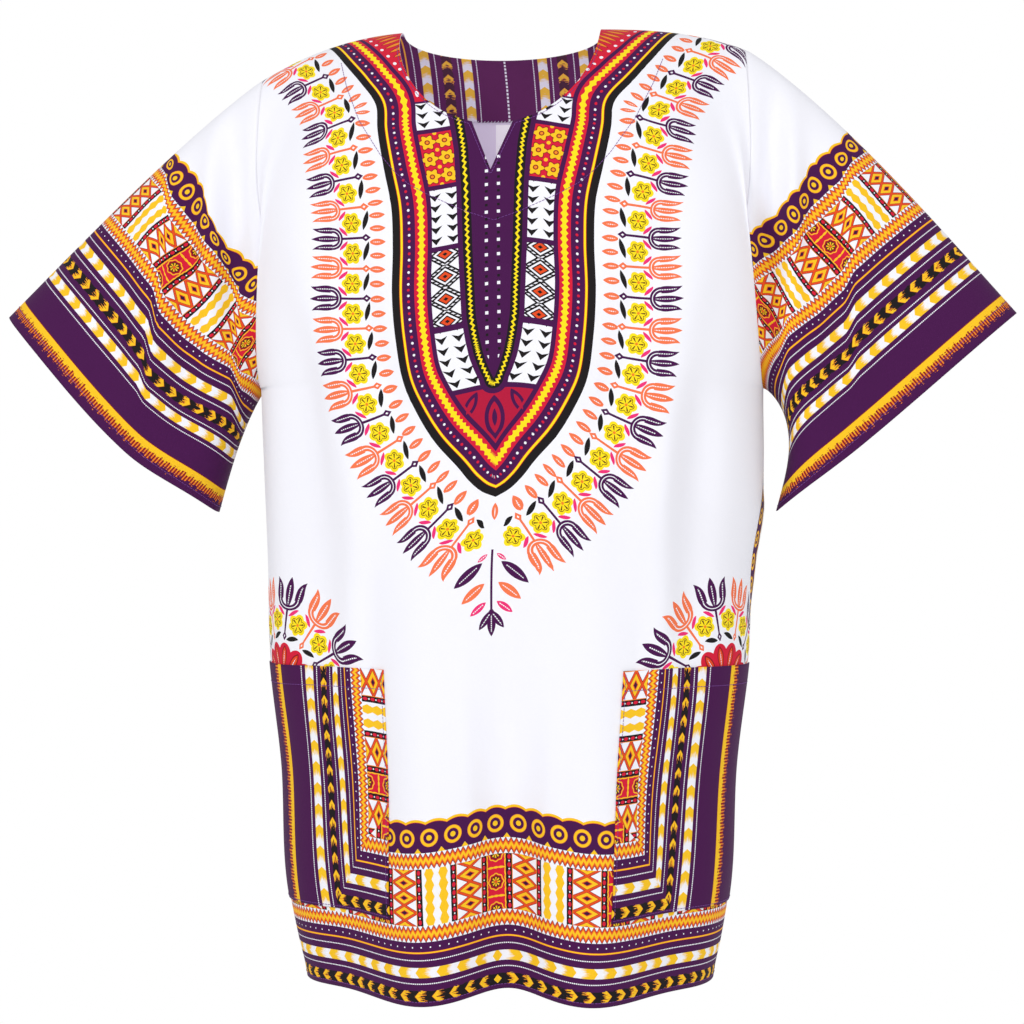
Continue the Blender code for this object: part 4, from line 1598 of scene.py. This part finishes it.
white_threads = bmesh.new()
inside = facing_sheet.points - surface_normals(facing_sheet.points) * CLOTH
sew_row(white_threads, inside[:, ::-1], 0, slant=OVERSEW_SLANT, length=OVERSEW_LENGTH)


# %% Thread materials and the two pieces of stitching
def thread_material(name, colour, shade):
    """Cotton thread whose fibres show as fine specks of a darker shade."""
    material, inputs = new_material(name, {"Roughness": 0.6})
    ink = Ink(material.node_tree, inputs["Base Color"])
    place = ink.node("ShaderNodeTexCoord", {}, {}, output=3)
    fibres = ink.node("ShaderNodeTexNoise", {}, {0: place, "Scale": 2600.0, "Detail": 1.0})
    dyed = ink.node("ShaderNodeMix", {"data_type": "RGBA"}, {0: fibres, 6: colour, 7: shade}, output=2)
    bump = ink.node("ShaderNodeBump", {}, {"Strength": 0.3, "Distance": 0.0001, "Height": fibres})
    ink.tree.links.new(dyed.socket, inputs["Base Color"])
    ink.tree.links.new(bump.socket, inputs["Normal"])
    return material


THREADS = [
    ("violet_stitches", violet_threads, thread_material("violet_thread", VIOLET, PURPLE)),
    ("white_stitches", white_threads, thread_material("white_thread", WHITE, ink_colour(214, 210, 222))),
]
for name, threads, material in THREADS:
    mesh = bpy.data.meshes.new(name)
    threads.to_mesh(mesh)
    threads.free()
    add_piece(name, mesh, [material])
    print(name, len(mesh.polygons), "faces")

# %% [markdown]
# ## The flat cut of each sheet
#
# Before it was sewn, each panel was a flat piece of cloth. Here only each sleeve's width round is measured,
# row by row. Each sleeve is one piece that is sewn up under the arm.

# %% Measuring each sleeve's width round
for sleeve, sheet in sleeves.values():
    over = np.ptp(sheet.print_u, axis=1)

# %% [markdown]
# ## Floor, light and camera
#
# The photo is a studio cut-out on white in flat soft light, taken from mid height a few degrees to
# the wearer's left.

# %% Floor and lights
FLOOR_HEIGHT = -1.25
floor_mesh = bpy.data.meshes.new("floor")
floor_shape = bmesh.new()
bmesh.ops.create_circle(floor_shape, cap_ends=True, radius=2.2, segments=96)
bmesh.ops.translate(floor_shape, verts=floor_shape.verts, vec=(0.0, 0.0, FLOOR_HEIGHT))
floor_shape.to_mesh(floor_mesh)
floor_shape.free()
floor = add_object("floor", floor_mesh)
pale_floor, _ = new_material("pale_floor", {"Base Color": (0.88, 0.88, 0.88, 1.0), "Roughness": 0.9})
floor_mesh.materials.append(pale_floor)

SOFT_LIGHT = 0.595
BACKDROP_LIGHT = 1.0
bpy.context.scene.view_settings.view_transform = "Standard"
world = bpy.data.worlds.new("studio")
world.use_nodes = True
world.node_tree.nodes["Background"].inputs["Color"].default_value = (1.0, 1.0, 1.0, 1.0)
sky = Ink(world.node_tree, None)
seen = sky.node("ShaderNodeLightPath", {}, {})
strength = seen * (BACKDROP_LIGHT - SOFT_LIGHT) + SOFT_LIGHT
world.node_tree.links.new(strength.socket, world.node_tree.nodes["Background"].inputs["Strength"])
bpy.context.scene.world = world

AreaLight = namedtuple("AreaLight", "name place size watts")
LIGHTS = [
    AreaLight("key_left", (-1.6, -2.2, 0.9), 1.0, 25.0),
    AreaLight("key_right", (2.2, -1.6, 0.3), 1.2, 13.5),
    AreaLight("front", (0.3, -2.9, 0.2), 0.8, 10.0),
    AreaLight("back", (0.4, 2.4, 0.6), 1.4, 14.0),
]
AIM = Vector((0.0, 0.0, -0.35))
for light in LIGHTS:
    lamp = bpy.data.lights.new(light.name, "AREA")
    lamp.size = light.size
    lamp.energy = light.watts
    holder = add_object(light.name, lamp)
    holder.location = light.place
    holder.rotation_euler = (AIM - Vector(light.place)).to_track_quat("-Z", "Y").to_euler()

# %% Camera
CAMERA_DISTANCE = 2.3
CAMERA_AZIMUTH = math.radians(5.0)
CAMERA_TARGET = Vector((0.008, 0.0, -0.397))
LENS_MM = 97.4
camera_data = bpy.data.cameras.new("camera")
camera_data.lens = LENS_MM
camera_data.sensor_width = 36.0
camera = add_object("camera", camera_data)
back_along = Vector((math.sin(CAMERA_AZIMUTH), -math.cos(CAMERA_AZIMUTH), 0.0))
camera.location = CAMERA_TARGET + back_along * CAMERA_DISTANCE
camera.rotation_euler = (-back_along).to_track_quat("-Z", "Y").to_euler()
bpy.context.scene.camera = camera
